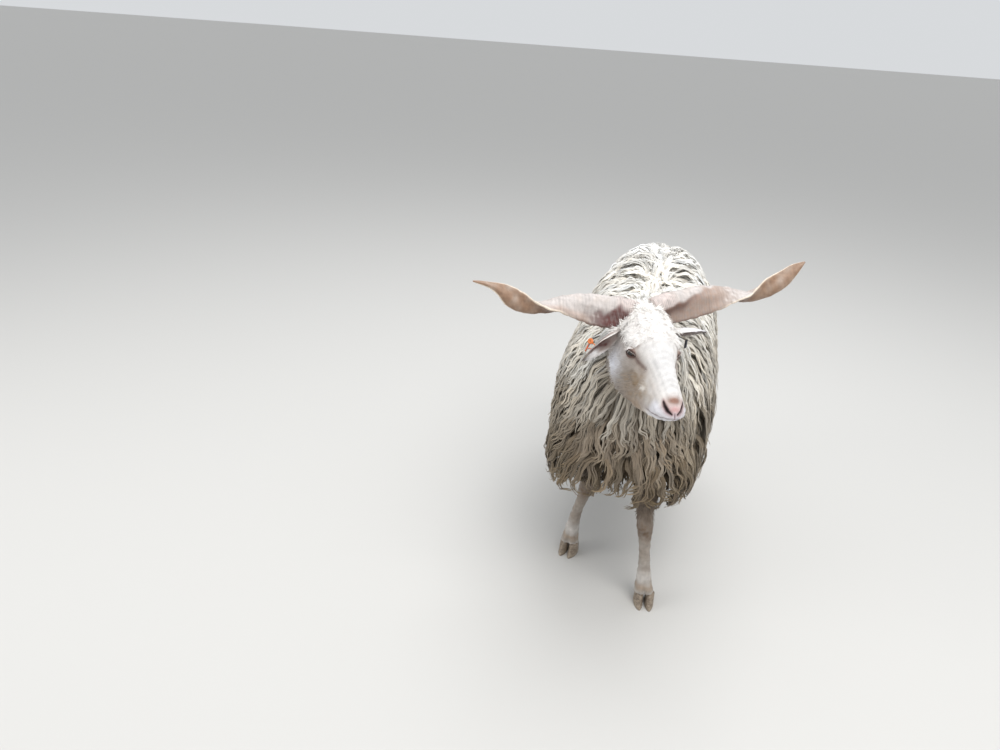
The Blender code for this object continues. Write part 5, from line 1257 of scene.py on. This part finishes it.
def build_short_hair(co, tri, mats):
    rng = np.random.RandomState(19)
    mid = co[tri].mean(1)
    h = to_head(mid)
    ratio = head_ratio(h)
    x, y, z, rad, _ = eye_coords(h * np.array([1, 1, 1]) * np.where(h[:, 1:2] < 0, np.array([1, -1, 1]), np.array([1, 1, 1])))
    slit = eye_slit(x, y)
    lids = (rad < 0.024) & (z > 0) & (slit < 1.7)
    ear = np.zeros(len(mid), bool)
    for side in (1.0, -1.0):
        t, w, depth, gap = ear_coords(mid, side)
        ear |= (gap < 0.005) & (t > 0.10)
    face = (ratio < 1.12) & (h[:, 0] > -0.030) & ~lids & ~ear
    hm = h.copy()
    hm[:, 1] = np.abs(hm[:, 1])
    dn, _ = near_nostril(hm)
    dt, _ = to_line(hm, TEAR)
    dm, _ = to_line(hm, MOUTH)
    bare = (dn < 0.0050) | (dt < 0.0034) | (dm < 0.0025) | ((h[:, 0] > 0.216) & (np.abs(h[:, 1]) < 0.014) & (h[:, 2] > -0.058))
    face &= ~bare
    # -- face: fine hair lying back and down, broken by longer hair on cheeks and jaw
    dens = face * (1.0 + 0.4 * step(-0.06, -0.12, h[:, 2])) * (1 - 0.35 * step(0.03, 0.018, np.abs(h[:, 1])) * step(0.10, 0.14, h[:, 0]))
    root, nrm = scatter(co, tri, dens, 15500, rng)
    hh = to_head(root)
    s, u, q = hh.T
    n = len(root)
    sg = np.where(u < 0, -1.0, 1.0)
    fore = step(0.115, 0.085, s) * step(-0.034, -0.012, q)
    cheek = step(-0.030, -0.075, q) * step(0.20, 0.13, s)
    lieh = np.stack([-0.75 + 0.2 * rng.normal(size=n), 0.35 * sg + 0.3 * wobble(hh, 0.02, 111), -0.15 - 0.55 * cheek], 1)
    lieh = mix(lieh, np.stack([-0.10 + 0.3 * wobble(hh, 0.018, 112), sg * (0.9 + 0.2 * rng.normal(size=n)), -0.3 + 0 * s], 1), fore * 0.85)
    lieh[:, 2] -= 0.7 * step(0.02, -0.02, s)
    lie = lieh @ HEAD
    length = 0.0058 + 0.0030 * fore + 0.0080 * cheek - 0.0020 * step(0.16, 0.21, s) + 0.006 * step(0.01, -0.02, s)
    length = length * rng.uniform(0.7, 1.3, n)
    width = (0.00085 + 0.0003 * fore + 0.0005 * cheek) * rng.uniform(0.8, 1.3, n)
    lift = np.radians(3 + 3 * fore + 8 * cheek) * rng.uniform(0.5, 1.5, n)
    curve = 0.20 * rng.normal(size=n) + 0.5 * fore * wobble(hh, 0.016, 113)
    tone = face_tone(hh) * (1 + 0.04 * rng.normal(size=n))[:, None] * (1.03 + 0.10 * fore)[:, None]
    dark = step(0.30, 0.10, tone.mean(1))
    P, O, W, T = tufts(root, nrm, lie, length * (1 - 0.4 * dark), width, lift, curve, tone, 2)
    coat_object("face_hair", P, O, W, T, root, mats["hair"], 0.35)
    # -- wavy locks over the forehead, lying across it
    band = face & (h[:, 0] < 0.100) & (h[:, 2] > -0.030 + 0.10 * (h[:, 0] - 0.04).clip(0, 1)) & (np.abs(h[:, 1]) < 0.052)
    root, nrm = scatter(co, tri, band * step(0.112, 0.085, h[:, 0]), 4600, rng)
    hh = to_head(root)
    n = len(root)
    sg = np.clip(hh[:, 1] / 0.012 + 0.8 * wobble(hh, 0.02, 114), -1, 1)
    lie = np.stack([0.16 + 0.30 * wobble(hh, 0.022, 115), 0.9 * sg, -0.2 * np.abs(sg)], 1) @ HEAD
    length = rng.uniform(0.011, 0.020, n) * step(0.125, 0.085, hh[:, 0]).clip(0.45, 1)
    tone = mix(face_tone(hh), np.tile(lin(245, 242, 239), (n, 1)), 0.85 + 0 * sg) * (1 + 0.03 * rng.normal(size=n))[:, None]
    P, O, W, T = tufts(root, nrm, lie, length, rng.uniform(0.0009, 0.0019, n), np.radians(rng.uniform(1, 4.5, n)), 0.22 * rng.normal(size=n), tone, 3)
    swing = np.sin(np.linspace(0, 1, 4)[None] * 2 * np.pi * 0.8 + (3 * wobble(hh, 0.02, 117))[:, None]) * 0.0012 * np.linspace(0, 1, 4)[None]
    P = P + np.cross(unit(lie), nrm)[:, None] * swing[..., None]
    coat_object("forehead_hair", P, O, W, T, root, mats["hair"], 0.30)
    # -- wisps over the poll, between and behind the horns
    crown = face & (h[:, 0] < 0.040) & (h[:, 2] > -0.030)
    root, nrm = scatter(co, tri, crown.astype(float), 2100, rng)
    hh = to_head(root)
    n = len(root)
    sg = np.where(hh[:, 1] < 0, -1.0, 1.0)
    lie = np.stack([0.15 + 0.8 * wobble(hh, 0.02, 121) - 0.6 * step(0.02, -0.02, hh[:, 0]), 0.7 * sg + 0.6 * wobble(hh, 0.014, 122), 0 * sg], 1) @ HEAD
    length = rng.uniform(0.014, 0.026, n)
    P, O, W, T = tufts(root, nrm, lie, length, rng.uniform(0.0010, 0.0020, n), np.radians(rng.uniform(3, 11, n)), 0.3 * rng.normal(size=n),
                       np.tile(lin(244, 241, 237), (n, 1)) * (1 + 0.04 * rng.normal(size=n))[:, None])
    coat_object("crown_hair", P, O, W, T, root, mats["hair"], 0.30)
    # -- lashes of the upper lids
    root, nrm, lie = [], [], []
    for side in (1.0, -1.0):
        line, out = lid_line(side, 1.12, EYE_R * 1.045 + 0.0014, 40, True)
        high = (EYE_HIGH * np.array([1, side, 1])) @ HEAD
        root.append(line[3:-3])
        nrm.append(unit(high[None] + 0.2 * out[3:-3]))
        lie.append(unit(out[3:-3] - 0.50 * high[None] + 0.18 * rng.normal(size=(len(line) - 6, 3))))
    root, nrm, lie = (np.concatenate(v) for v in (root, nrm, lie))
    n = len(root)
    P, O, W, T = tufts(root, nrm, lie, rng.uniform(0.0045, 0.0075, n), np.full(n, 0.0005), np.radians(rng.uniform(4, 14, n)), 0.2 * rng.normal(size=n),
                       np.tile(lin(176, 164, 156), (n, 1)), 3)
    coat_object("lashes", P, O, W, T, root, mats["hair"], 0.5)
    # -- ears
    root, nrm = scatter(co, tri, ear.astype(float), 3200, rng)
    n = len(root)
    lie, tone, rim = np.zeros((n, 3)), np.zeros((n, 3)), np.zeros(n)
    for side in (1.0, -1.0):
        rt, aim, fc, across, length_e = ear_frame(side)
        t, w, depth, gap = ear_coords(root, side)
        mine = (gap < 0.0055) & (t > 0.02)
        way = aim + across * (0.45 * np.sign(w) * step(0.5, 1.0, np.abs(w)))[:, None] + across * (0.15 * rng.normal(size=n))[:, None]
        lie = np.where(mine[:, None], way, lie)
        tone = np.where(mine[:, None], ear_tone(root, side), tone)
        rim = np.where(mine, step(0.75, 1.0, np.abs(w)), rim)
    length = (0.0055 + 0.004 * rim) * rng.uniform(0.7, 1.3, n)
    P, O, W, T = tufts(root, nrm, lie, length, 0.0009 * rng.uniform(0.8, 1.3, n), np.radians(rng.uniform(4, 11, n) + 6 * rim), 0.20 * rng.normal(size=n),
                       tone * (1 + 0.05 * rng.normal(size=n))[:, None], 2)
    coat_object("ear_hair", P, O, W, T, root, mats["hair"], 0.35)
    # -- legs
    leg = np.zeros(len(mid), bool)
    for name in FEET:
        cx, cy, rx, ry, _ = leg_centre(name, mid[:, 2])
        leg |= (np.hypot((mid[:, 0] - cx) / (rx + 0.004), (mid[:, 1] - cy) / (ry + 0.006)) < 1.1) & (mid[:, 2] < 0.36)
    root, nrm = scatter(co, tri, leg * (1.0 + 0.6 * step(0.06, 0.03, mid[:, 2])), 8200, rng)
    n = len(root)
    z = root[:, 2]
    lie = np.stack([0.2 * rng.normal(size=n), 0.2 * rng.normal(size=n) + 0.15, -np.ones(n)], 1)
    upper = step(0.19, 0.30, z)
    length = (0.0058 + 0.020 * upper + 0.003 * blob(z, 0.06, 0.012)) * rng.uniform(0.7, 1.35, n)
    width = (0.0009 + 0.0014 * upper) * rng.uniform(0.8, 1.3, n)
    P, O, W, T = tufts(root, nrm, lie, length, width, np.radians((5 + 10 * upper) * rng.uniform(0.5, 1.6, n)), 0.25 * rng.normal(size=n),
                       leg_tone(root) * (1 + 0.06 * rng.normal(size=n))[:, None], 2)
    P[..., 2] = np.maximum(P[..., 2], 0.016)
    coat_object("leg_hair", P, O, W, T, root, mats["hair"], 0.35)


# ---------------------------------------------------------------- materials
def node(tree, kind, **values):
    nd = tree.nodes.new(kind)
    for key, val in values.items():
        if key in nd.inputs.keys():
            nd.inputs[key].default_value = val
        else:
            setattr(nd, key, val)
    return nd


def link(tree, a, out, b, into):
    tree.links.new(a.outputs[out], b.inputs[into])


def tone_material(name, rough, fine, fine_by, coarse, coarse_by, bump, rough_by=0.08, sheen=0.0, sheen_rough=0.5,
                  spec=0.5, stretch=None, coat=0.0, coat_rough=0.1, sss=0.0):
    """Painted colour broken up by two noises, with bump and uneven roughness."""
    mat = bpy.data.materials.new(name)
    mat.use_nodes = True
    tree = mat.node_tree
    shader = tree.nodes["Principled BSDF"]
    paint = node(tree, "ShaderNodeAttribute", attribute_name="tone")
    if stretch:
        place = node(tree, "ShaderNodeUVMap", uv_map="lie")
        scale = node(tree, "ShaderNodeMapping")
        scale.inputs["Scale"].default_value = stretch
        link(tree, place, "UV", scale, "Vector")
    else:
        place = node(tree, "ShaderNodeTexCoord")
        scale = node(tree, "ShaderNodeMapping")
        link(tree, place, "Object", scale, "Vector")
    a = node(tree, "ShaderNodeTexNoise", Scale=fine, Detail=3.0, Roughness=0.6)
    b = node(tree, "ShaderNodeTexNoise", Scale=coarse, Detail=4.0, Roughness=0.55)
    link(tree, scale, "Vector", a, "Vector")
    link(tree, scale, "Vector", b, "Vector")
    ra = node(tree, "ShaderNodeMapRange")
    ra.inputs["From Min"].default_value, ra.inputs["From Max"].default_value = 0.25, 0.75
    ra.inputs["To Min"].default_value, ra.inputs["To Max"].default_value = 1 - fine_by, 1 + fine_by
    rb = node(tree, "ShaderNodeMapRange")
    rb.inputs["From Min"].default_value, rb.inputs["From Max"].default_value = 0.25, 0.75
    rb.inputs["To Min"].default_value, rb.inputs["To Max"].default_value = 1 - coarse_by, 1 + coarse_by
    link(tree, a, "Fac", ra, "Value")
    link(tree, b, "Fac", rb, "Value")
    both = node(tree, "ShaderNodeMath", operation="MULTIPLY")
    link(tree, ra, "Result", both, 0)
    link(tree, rb, "Result", both, 1)
    tint = node(tree, "ShaderNodeVectorMath", operation="SCALE")
    link(tree, paint, "Color", tint, 0)
    link(tree, both, "Value", tint, "Scale")
    link(tree, tint, "Vector", shader, "Base Color")
    rr = node(tree, "ShaderNodeMapRange")
    rr.inputs["To Min"].default_value, rr.inputs["To Max"].default_value = rough - rough_by, rough + rough_by
    link(tree, a, "Fac", rr, "Value")
    link(tree, rr, "Result", shader, "Roughness")
    bp = node(tree, "ShaderNodeBump", Strength=0.6, Distance=bump)
    link(tree, a, "Fac", bp, "Height")
    link(tree, bp, "Normal", shader, "Normal")
    shader.inputs["Sheen Weight"].default_value = sheen
    shader.inputs["Sheen Roughness"].default_value = sheen_rough
    shader.inputs["Specular IOR Level"].default_value = spec
    shader.inputs["Coat Weight"].default_value = coat
    shader.inputs["Coat Roughness"].default_value = coat_rough
    if sss:
        shader.inputs["Subsurface Weight"].default_value = sss
        shader.inputs["Subsurface Radius"].default_value = (0.006, 0.003, 0.002)
        shader.inputs["Subsurface Scale"].default_value = 1.0
    return mat


def build_eye(side):
    """The ball with a bulging clear front; colours for iris, slit pupil and rim."""
    T, P = np.meshgrid(np.linspace(0.02, np.pi - 0.02, 70), np.arange(96) * 2 * np.pi / 96, indexing="ij")
    x, y, z = np.sin(T) * np.cos(P), np.sin(T) * np.sin(P), np.cos(T)
    r = EYE_R * (1 + 0.055 * np.exp(-(T / 0.62) ** 4))
    local = np.stack([x * r, y * r, z * r], -1)
    flip = np.array([1, side, 1])
    basis = np.stack([EYE_ALONG, EYE_HIGH, EYE_OUT]) * flip
    centre = np.array(EYE_AT) * flip
    rings = from_head(centre + local @ basis)
    verts, faces = closed_tube(rings)
    px, py = x * EYE_R, y * EYE_R
    rad = np.hypot(px, py)
    ang = np.arctan2(py, px)
    fibre = 0.5 + 0.5 * np.sin(ang * 46 + 3 * np.sin(ang * 7)) * 0.7
    iris = mix(np.tile(lin(74, 50, 32), T.shape + (1,)), lin(42, 27, 19), fibre * 0.6)
    iris = mix(iris, lin(34, 20, 14), step(0.0072, 0.0088, rad))
    tone = mix(iris, lin(70, 52, 46), step(0.0086, 0.0100, rad))
    pupil = np.maximum(np.abs(px) / 0.0060, np.abs(py) / 0.0028)
    tone = mix(tone, lin(6, 5, 5), step(1.12, 0.92, pupil))
    tone = mix(tone, lin(150, 130, 122), (z < 0.45) * 0.6)
    ends = np.stack([tone[0].mean(0), tone[-1].mean(0)])
    return verts, faces, np.concatenate([tone.reshape(-1, 3), ends])


def add_piece(name, built, mat, slot, *stands_for):
    verts, faces, tone = built
    obj = make_mesh(name, verts, faces, tone)
    obj.data.materials.append(mat)
    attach(obj, "root")
    if stands_for:
        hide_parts(*stands_for)
    return obj


# --------------------------------------------------------------- ear marks
def rounded_plate(name, size, radius, middle, axes, mat, node_name, bow=0.0, hole=None):
    """A moulded plate with rounded corners and edges, slightly bowed."""
    lx, ly, lz = size
    n = 12
    corner = []
    for sx, sy, a0 in ((1, 1, 0), (-1, 1, 90), (-1, -1, 180), (1, -1, 270)):
        for a in np.radians(a0 + np.linspace(0, 90, n)):
            corner.append((sx * (lx / 2 - radius) + radius * math.cos(a), sy * (ly / 2 - radius) + radius * math.sin(a)))
    rim = np.array(corner)
    rows = []
    for inset, height in ((0.45, 0.50), (0.80, 0.50), (0.94, 0.50), (0.985, 0.36), (1.0, 0.0), (0.985, -0.36), (0.94, -0.50), (0.80, -0.50), (0.45, -0.50)):
        flat = rim * inset
        rows.append(np.stack([flat[:, 0], flat[:, 1], height * lz - bow * (flat[:, 0] / lx) ** 2], 1))
    rings = np.stack(rows) @ np.stack(axes) + middle
    verts, faces = closed_tube(rings)
    base = lin(226, 98, 44) if "right" in node_name else lin(70, 70, 78)
    tone = np.tile(base, (len(verts), 1)) * (1 + 0.06 * wobble(verts, 0.008, 131))[:, None]
    obj = make_mesh(name, verts, faces, tone)
    obj.data.materials.append(mat)
    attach(obj, "root")
    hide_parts(node_name)
    return obj


def build_button(middle, axes):
    """A stud with a stepped head and a dished middle."""
    prof = [(0.0001, -0.0018), (0.0054, -0.0018), (0.0060, -0.0013), (0.0060, 0.0002), (0.0056, 0.0009), (0.0042, 0.0012),
            (0.0038, 0.0017), (0.0030, 0.0018), (0.0025, 0.0012), (0.0001, 0.0010)]
    phi = np.arange(40) * 2 * np.pi / 40
    rows = [np.stack([r * np.cos(phi), r * np.sin(phi), np.full(40, h)], 1) for r, h in prof]
    rings = np.stack(rows) @ np.stack(axes) + middle
    verts, faces = closed_tube(rings)
    tone = np.tile(lin(232, 130, 66), (len(verts), 1))
    local = (verts - middle) @ np.stack(axes).T
    tone = mix(tone, lin(120, 72, 40), step(0.0027, 0.0016, np.hypot(local[:, 0], local[:, 1])) * (local[:, 2] > 0))
    return verts, faces, tone


def build_pin(start, side, co, radius, base):
    """A pin from a tag to the nearest place on the ear, ending inside the ear."""
    root, along = ear_frame(side)[:2]
    away = co - root
    t = away @ along
    near = co[(t > 0.018) & (t < 0.070) & (np.linalg.norm(away - t[:, None] * along, axis=1) < 0.022)]
    goal = near[np.argmin(np.linalg.norm(near - start, axis=1))]
    d = unit(goal - start)
    a = unit(np.cross(d, UP + 0.3 * along))
    b = np.cross(d, a)
    phi = np.arange(12) * 2 * np.pi / 12
    line = start + (goal + 0.0015 * d - start) * np.linspace(0, 1, 7)[:, None]
    rings = line[:, None] + radius * (a * np.cos(phi)[None, :, None] + b * np.sin(phi)[None, :, None])
    verts, faces = closed_tube(rings)
    print("pin mm", round(float(np.linalg.norm(goal - start)) * 1000, 1))
    return verts, faces, np.tile(base, (len(verts), 1))


def lid_line(side, reach, radius, count=96, upper=False):
    """Places along the edge of the eye's opening."""
    a = np.linspace(0, np.pi, count) if upper else np.arange(count) * 2 * np.pi / count
    X = 0.0106 * np.cos(a)
    tall = np.where(np.sin(a) >= 0, 0.0047 * np.clip(1 - np.abs(np.cos(a)) ** 2.2, 0, 1) ** 0.75,
                    0.0037 * np.clip(1 - np.abs(np.cos(a)) ** 2.0, 0, 1) ** 0.75)
    Y = np.sign(np.sin(a)) * tall
    x, y = X * reach + 0.0004, Y * reach - 0.0004 + 0.06 * X * reach
    z = np.sqrt(np.clip(EYE_R ** 2 - x * x - y * y, 1e-8, None))
    d = np.stack([x, y, z], 1) / EYE_R
    flip = np.array([1, side, 1])
    local = (np.array(EYE_AT) + (d @ np.stack([EYE_ALONG, EYE_HIGH, EYE_OUT])) * radius) * flip
    out = (d @ np.stack([EYE_ALONG, EYE_HIGH, EYE_OUT])) * flip
    return from_head(local), out @ HEAD


def build_lid_rim(side):
    """The moist dark margin of the lids, a ring round the opening."""
    line, out = lid_line(side, 1.03, EYE_R * 1.045 + 0.0009)
    tan = unit(np.roll(line, -1, 0) - np.roll(line, 1, 0))
    across = unit(np.cross(tan, out))
    n, m = len(line), 10
    b = np.arange(m) * 2 * np.pi / m
    wide = 0.00105 + 0.00015 * np.sin(np.arange(n) * 2 * np.pi / n * 9)
    rings = line[:, None] + wide[:, None, None] * (across[:, None] * np.cos(b)[None, :, None] + 0.8 * out[:, None] * np.sin(b)[None, :, None])
    quads = grid_faces(n, m)
    wrap = np.stack([(n - 1) * m + np.arange(m), (n - 1) * m + (np.arange(m) + 1) % m, (np.arange(m) + 1) % m, np.arange(m)], 1)
    quads = np.concatenate([quads, wrap])
    verts = rings.reshape(-1, 3)
    p, q, r = verts[quads[0][0]], verts[quads[0][1]], verts[quads[0][2]]
    if np.dot(np.cross(q - p, r - p), p - line[0]) < 0:
        quads = quads[:, ::-1]
    tone = mix(np.tile(lin(58, 40, 36), (len(verts), 1)), lin(96, 66, 60), np.clip(wobble(verts, 0.006, 141) * 0.3 + 0.3, 0, 1))
    return verts, [quads], tone


# --------------------------------------------------------------------- build
parts = {}
for label, built in (("trunk", build_trunk_core()), ("neckcore", build_neck_core()), ("tailcore", build_tail_core())):
    parts[label] = make_mesh(label, *built)
body = join([parts["trunk"], parts["neckcore"], parts["tailcore"]], "skin")
remesh = body.modifiers.new("voxel", "REMESH")
remesh.mode, remesh.voxel_size = "VOXEL", 0.0078
smooth = body.modifiers.new("smooth", "SMOOTH")
smooth.factor, smooth.iterations = 0.5, 8
done_mesh(body, "skin")
legs = join([make_mesh("leg_" + nm, *build_leg(nm)) for nm in FEET], "legs")
body = unite(body, legs, "skin")
head = make_mesh("headcore", *build_head())
body = unite(body, head, "skin")
ears = join([make_mesh("ear_%d" % i, *build_ear(sd)) for i, sd in enumerate((1.0, -1.0))], "ears")
body = unite(body, ears, "skin")
body.name = "skin"
co, tri = arrays(body.data)
print("skin tris", len(tri))
tone = skin_tone(co)
set_tone(body.data, tone)
body.data.shade_smooth()

skin_mat = tone_material("short_hair_skin", 0.78, 900.0, 0.14, 130.0, 0.08, 0.0006, sheen=0.15, spec=0.3)
hair_mat = tone_material("short_hair", 0.72, 1.3, 0.16, 0.35, 0.07, 0.0003, sheen=0.25, spec=0.35, stretch=(7.0, 0.35, 1.0))
wool_mat = tone_material("wool", 0.84, 1.5, 0.44, 0.40, 0.10, 0.0011, sheen=0.20, spec=0.20, stretch=(5.0, 0.40, 1.0))
horn_mat = tone_material("horn", 0.46, 420.0, 0.07, 60.0, 0.09, 0.0003, rough_by=0.10, spec=0.45)
hoof_mat = tone_material("hoof", 0.56, 600.0, 0.12, 120.0, 0.10, 0.0004, rough_by=0.10)
eye_mat = tone_material("eye", 0.12, 900.0, 0.08, 250.0, 0.10, 0.00001, rough_by=0.03, coat=0.6, coat_rough=0.02, spec=0.4)
rim_mat = tone_material("lid_rim", 0.38, 1400.0, 0.16, 400.0, 0.12, 0.0002, spec=0.5)
orange_mat = tone_material("orange_plastic", 0.42, 700.0, 0.05, 90.0, 0.06, 0.0001)
grey_mat = tone_material("grey_plastic", 0.48, 700.0, 0.06, 90.0, 0.08, 0.0001)

body.data.materials.clear()
body.data.materials.append(skin_mat)
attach(body, "root")
flesh = ["trunk", "neck", "head", "tail", "ear_left", "ear_right"]
flesh += ["leg_%s_%s" % (nm, part) for nm in FEET for part in ("upper", "lower")]
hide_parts(*flesh)

for side, label in ((1.0, "left"), (-1.0, "right")):
    add_piece("horn_" + label + "_surface", build_horn(side), horn_mat, "horn", "horn_" + label)
    add_piece("eyeball_" + label, build_eye(side), eye_mat, "eye", "eye_" + label)
    add_piece("lid_rim_" + label, build_lid_rim(side), rim_mat, "eye")
for nm in FEET:
    for outer in (True, False):
        word = "outer" if outer else "inner"
        add_piece("hoof_%s_%s" % (nm, word), build_claw(nm, outer), hoof_mat, "hoof", "claw_%s_%s" % (nm, word))
    for which in (-1, 1):
        add_piece("dewclaw_%s_%s" % (nm, "a" if which < 0 else "b"), build_dewclaw(nm, which), hoof_mat, "hoof")

down_tag, out_tag = unit(np.array([-0.2948, -0.4304, -0.8526])), np.array([0.9551, -0.1342, -0.2625])
out_tag = unit(out_tag - down_tag * out_tag.dot(down_tag))
rounded_plate("ear_tag_plate", (0.0150, 0.0180, 0.0014), 0.004, np.array([-0.1041, -0.4490, 0.6718]),
              (down_tag, np.cross(out_tag, down_tag), out_tag), orange_mat, "tag_right_plate", bow=0.0006)
facing = unit(np.array([-0.3627, -0.7799, 0.5101]))
level = unit(np.cross(facing, UP))
add_piece("ear_tag_button", build_button(np.array([-0.0990, -0.4424, 0.6848]), (level, np.cross(facing, level), facing)),
          orange_mat, "orange_plastic", "tag_right_button")
rl, al, fl, cl, _ = ear_frame(1.0)
hang = rl + al * 0.029 + np.array([0.0134, -0.0057, -0.0247])
rounded_plate("ear_tag_grey", (0.008, 0.019, 0.0022), 0.0022, hang, (cl, -UP, unit(np.cross(cl, -UP))), grey_mat, "tag_left")

add_piece("ear_tag_plate_pin", build_pin(np.array([-0.1041, -0.4490, 0.6718]), -1.0, co, 0.0009, lin(226, 98, 44)), orange_mat, "orange_plastic")
add_piece("ear_tag_button_pin", build_pin(np.array([-0.0990, -0.4424, 0.6848]), -1.0, co, 0.0011, lin(232, 130, 66)), orange_mat, "orange_plastic")
add_piece("ear_tag_grey_pin", build_pin(hang + np.array([0.0, 0.0, 0.0080]), 1.0, co, 0.0008, lin(70, 70, 78)), grey_mat, "grey_plastic")

build_wool(co, tri, wool_mat, 1.0)
build_underwool(co, tri, wool_mat)
build_short_hair(co, tri, {"hair": hair_mat})

# ------------------------------------------------------- floor, light, camera
floor_me = bpy.data.meshes.new("floor")
floor_me.from_pydata([(-60, -60, 0), (60, -60, 0), (60, 60, 0), (-60, 60, 0)], [], [(0, 1, 2, 3)])
floor = bpy.data.objects.new("floor", floor_me)
bpy.context.scene.collection.objects.link(floor)
fm = bpy.data.materials.new("floor")
fm.use_nodes = True
fm.node_tree.nodes["Principled BSDF"].inputs["Base Color"].default_value = (0.62, 0.61, 0.59, 1)
fm.node_tree.nodes["Principled BSDF"].inputs["Roughness"].default_value = 0.9
floor_me.materials.append(fm)

world = bpy.data.worlds.new("studio")
bpy.context.scene.world = world
world.use_nodes = True
world.node_tree.nodes["Background"].inputs["Color"].default_value = (0.95, 0.975, 1.0, 1)
world.node_tree.nodes["Background"].inputs["Strength"].default_value = 0.72


def area_light(name, at, look, size, power_w, colour):
    data = bpy.data.lights.new(name, "AREA")
    data.shape, data.size, data.energy, data.color = "DISK", size, power_w, colour
    obj = bpy.data.objects.new(name, data)
    obj.location = Vector(at) + Vector(SHIFT)
    obj.rotation_euler = (Vector(look) - Vector(at)).to_track_quat("-Z", "Y").to_euler()
    bpy.context.scene.collection.objects.link(obj)


area_light("key", (1.1, -1.9, 3.4), (0, -0.2, 0.5), 2.4, 66, (1.0, 0.985, 0.96))
area_light("top", (0.2, 0.9, 3.6), (0, 0, 0.5), 2.6, 58, (0.97, 0.985, 1.0))
area_light("side", (-2.8, -1.4, 1.8), (0, -0.1, 0.45), 2.0, 22, (1.0, 0.99, 0.97))

cam_data = bpy.data.cameras.new("camera")
cam_data.sensor_width, cam_data.lens = 36.0, 28.08
cam_data.clip_start, cam_data.clip_end = 0.02, 60
cam = bpy.data.objects.new("camera", cam_data)
bpy.context.scene.collection.objects.link(cam)
HEADING, PITCH, ROLL = math.radians(8.3), math.radians(24.212385), math.radians(-4.112209)
fwd = Vector((-math.sin(HEADING) * math.cos(PITCH), math.cos(HEADING) * math.cos(PITCH), -math.sin(PITCH)))
right = Vector((math.cos(HEADING), math.sin(HEADING), 0.0))
down = fwd.cross(right)
bpy.context.scene.camera = cam
CAM_AT = Vector((-0.0625, -1.906, 1.25)) + Vector(SHIFT)
rx = right * math.cos(ROLL) + down * math.sin(ROLL)
ry = down * math.cos(ROLL) - right * math.sin(ROLL)
cam.matrix_world = Matrix(((rx.x, -ry.x, -fwd.x, CAM_AT.x), (rx.y, -ry.y, -fwd.y, CAM_AT.y), (rx.z, -ry.z, -fwd.z, CAM_AT.z), (0, 0, 0, 1)))
print("camera axes", [round(v, 3) for v in rx], [round(v, 3) for v in ry], [round(v, 3) for v in fwd])

bpy.context.scene.view_settings.view_transform = "Standard"
bpy.context.scene.view_settings.look = "None"
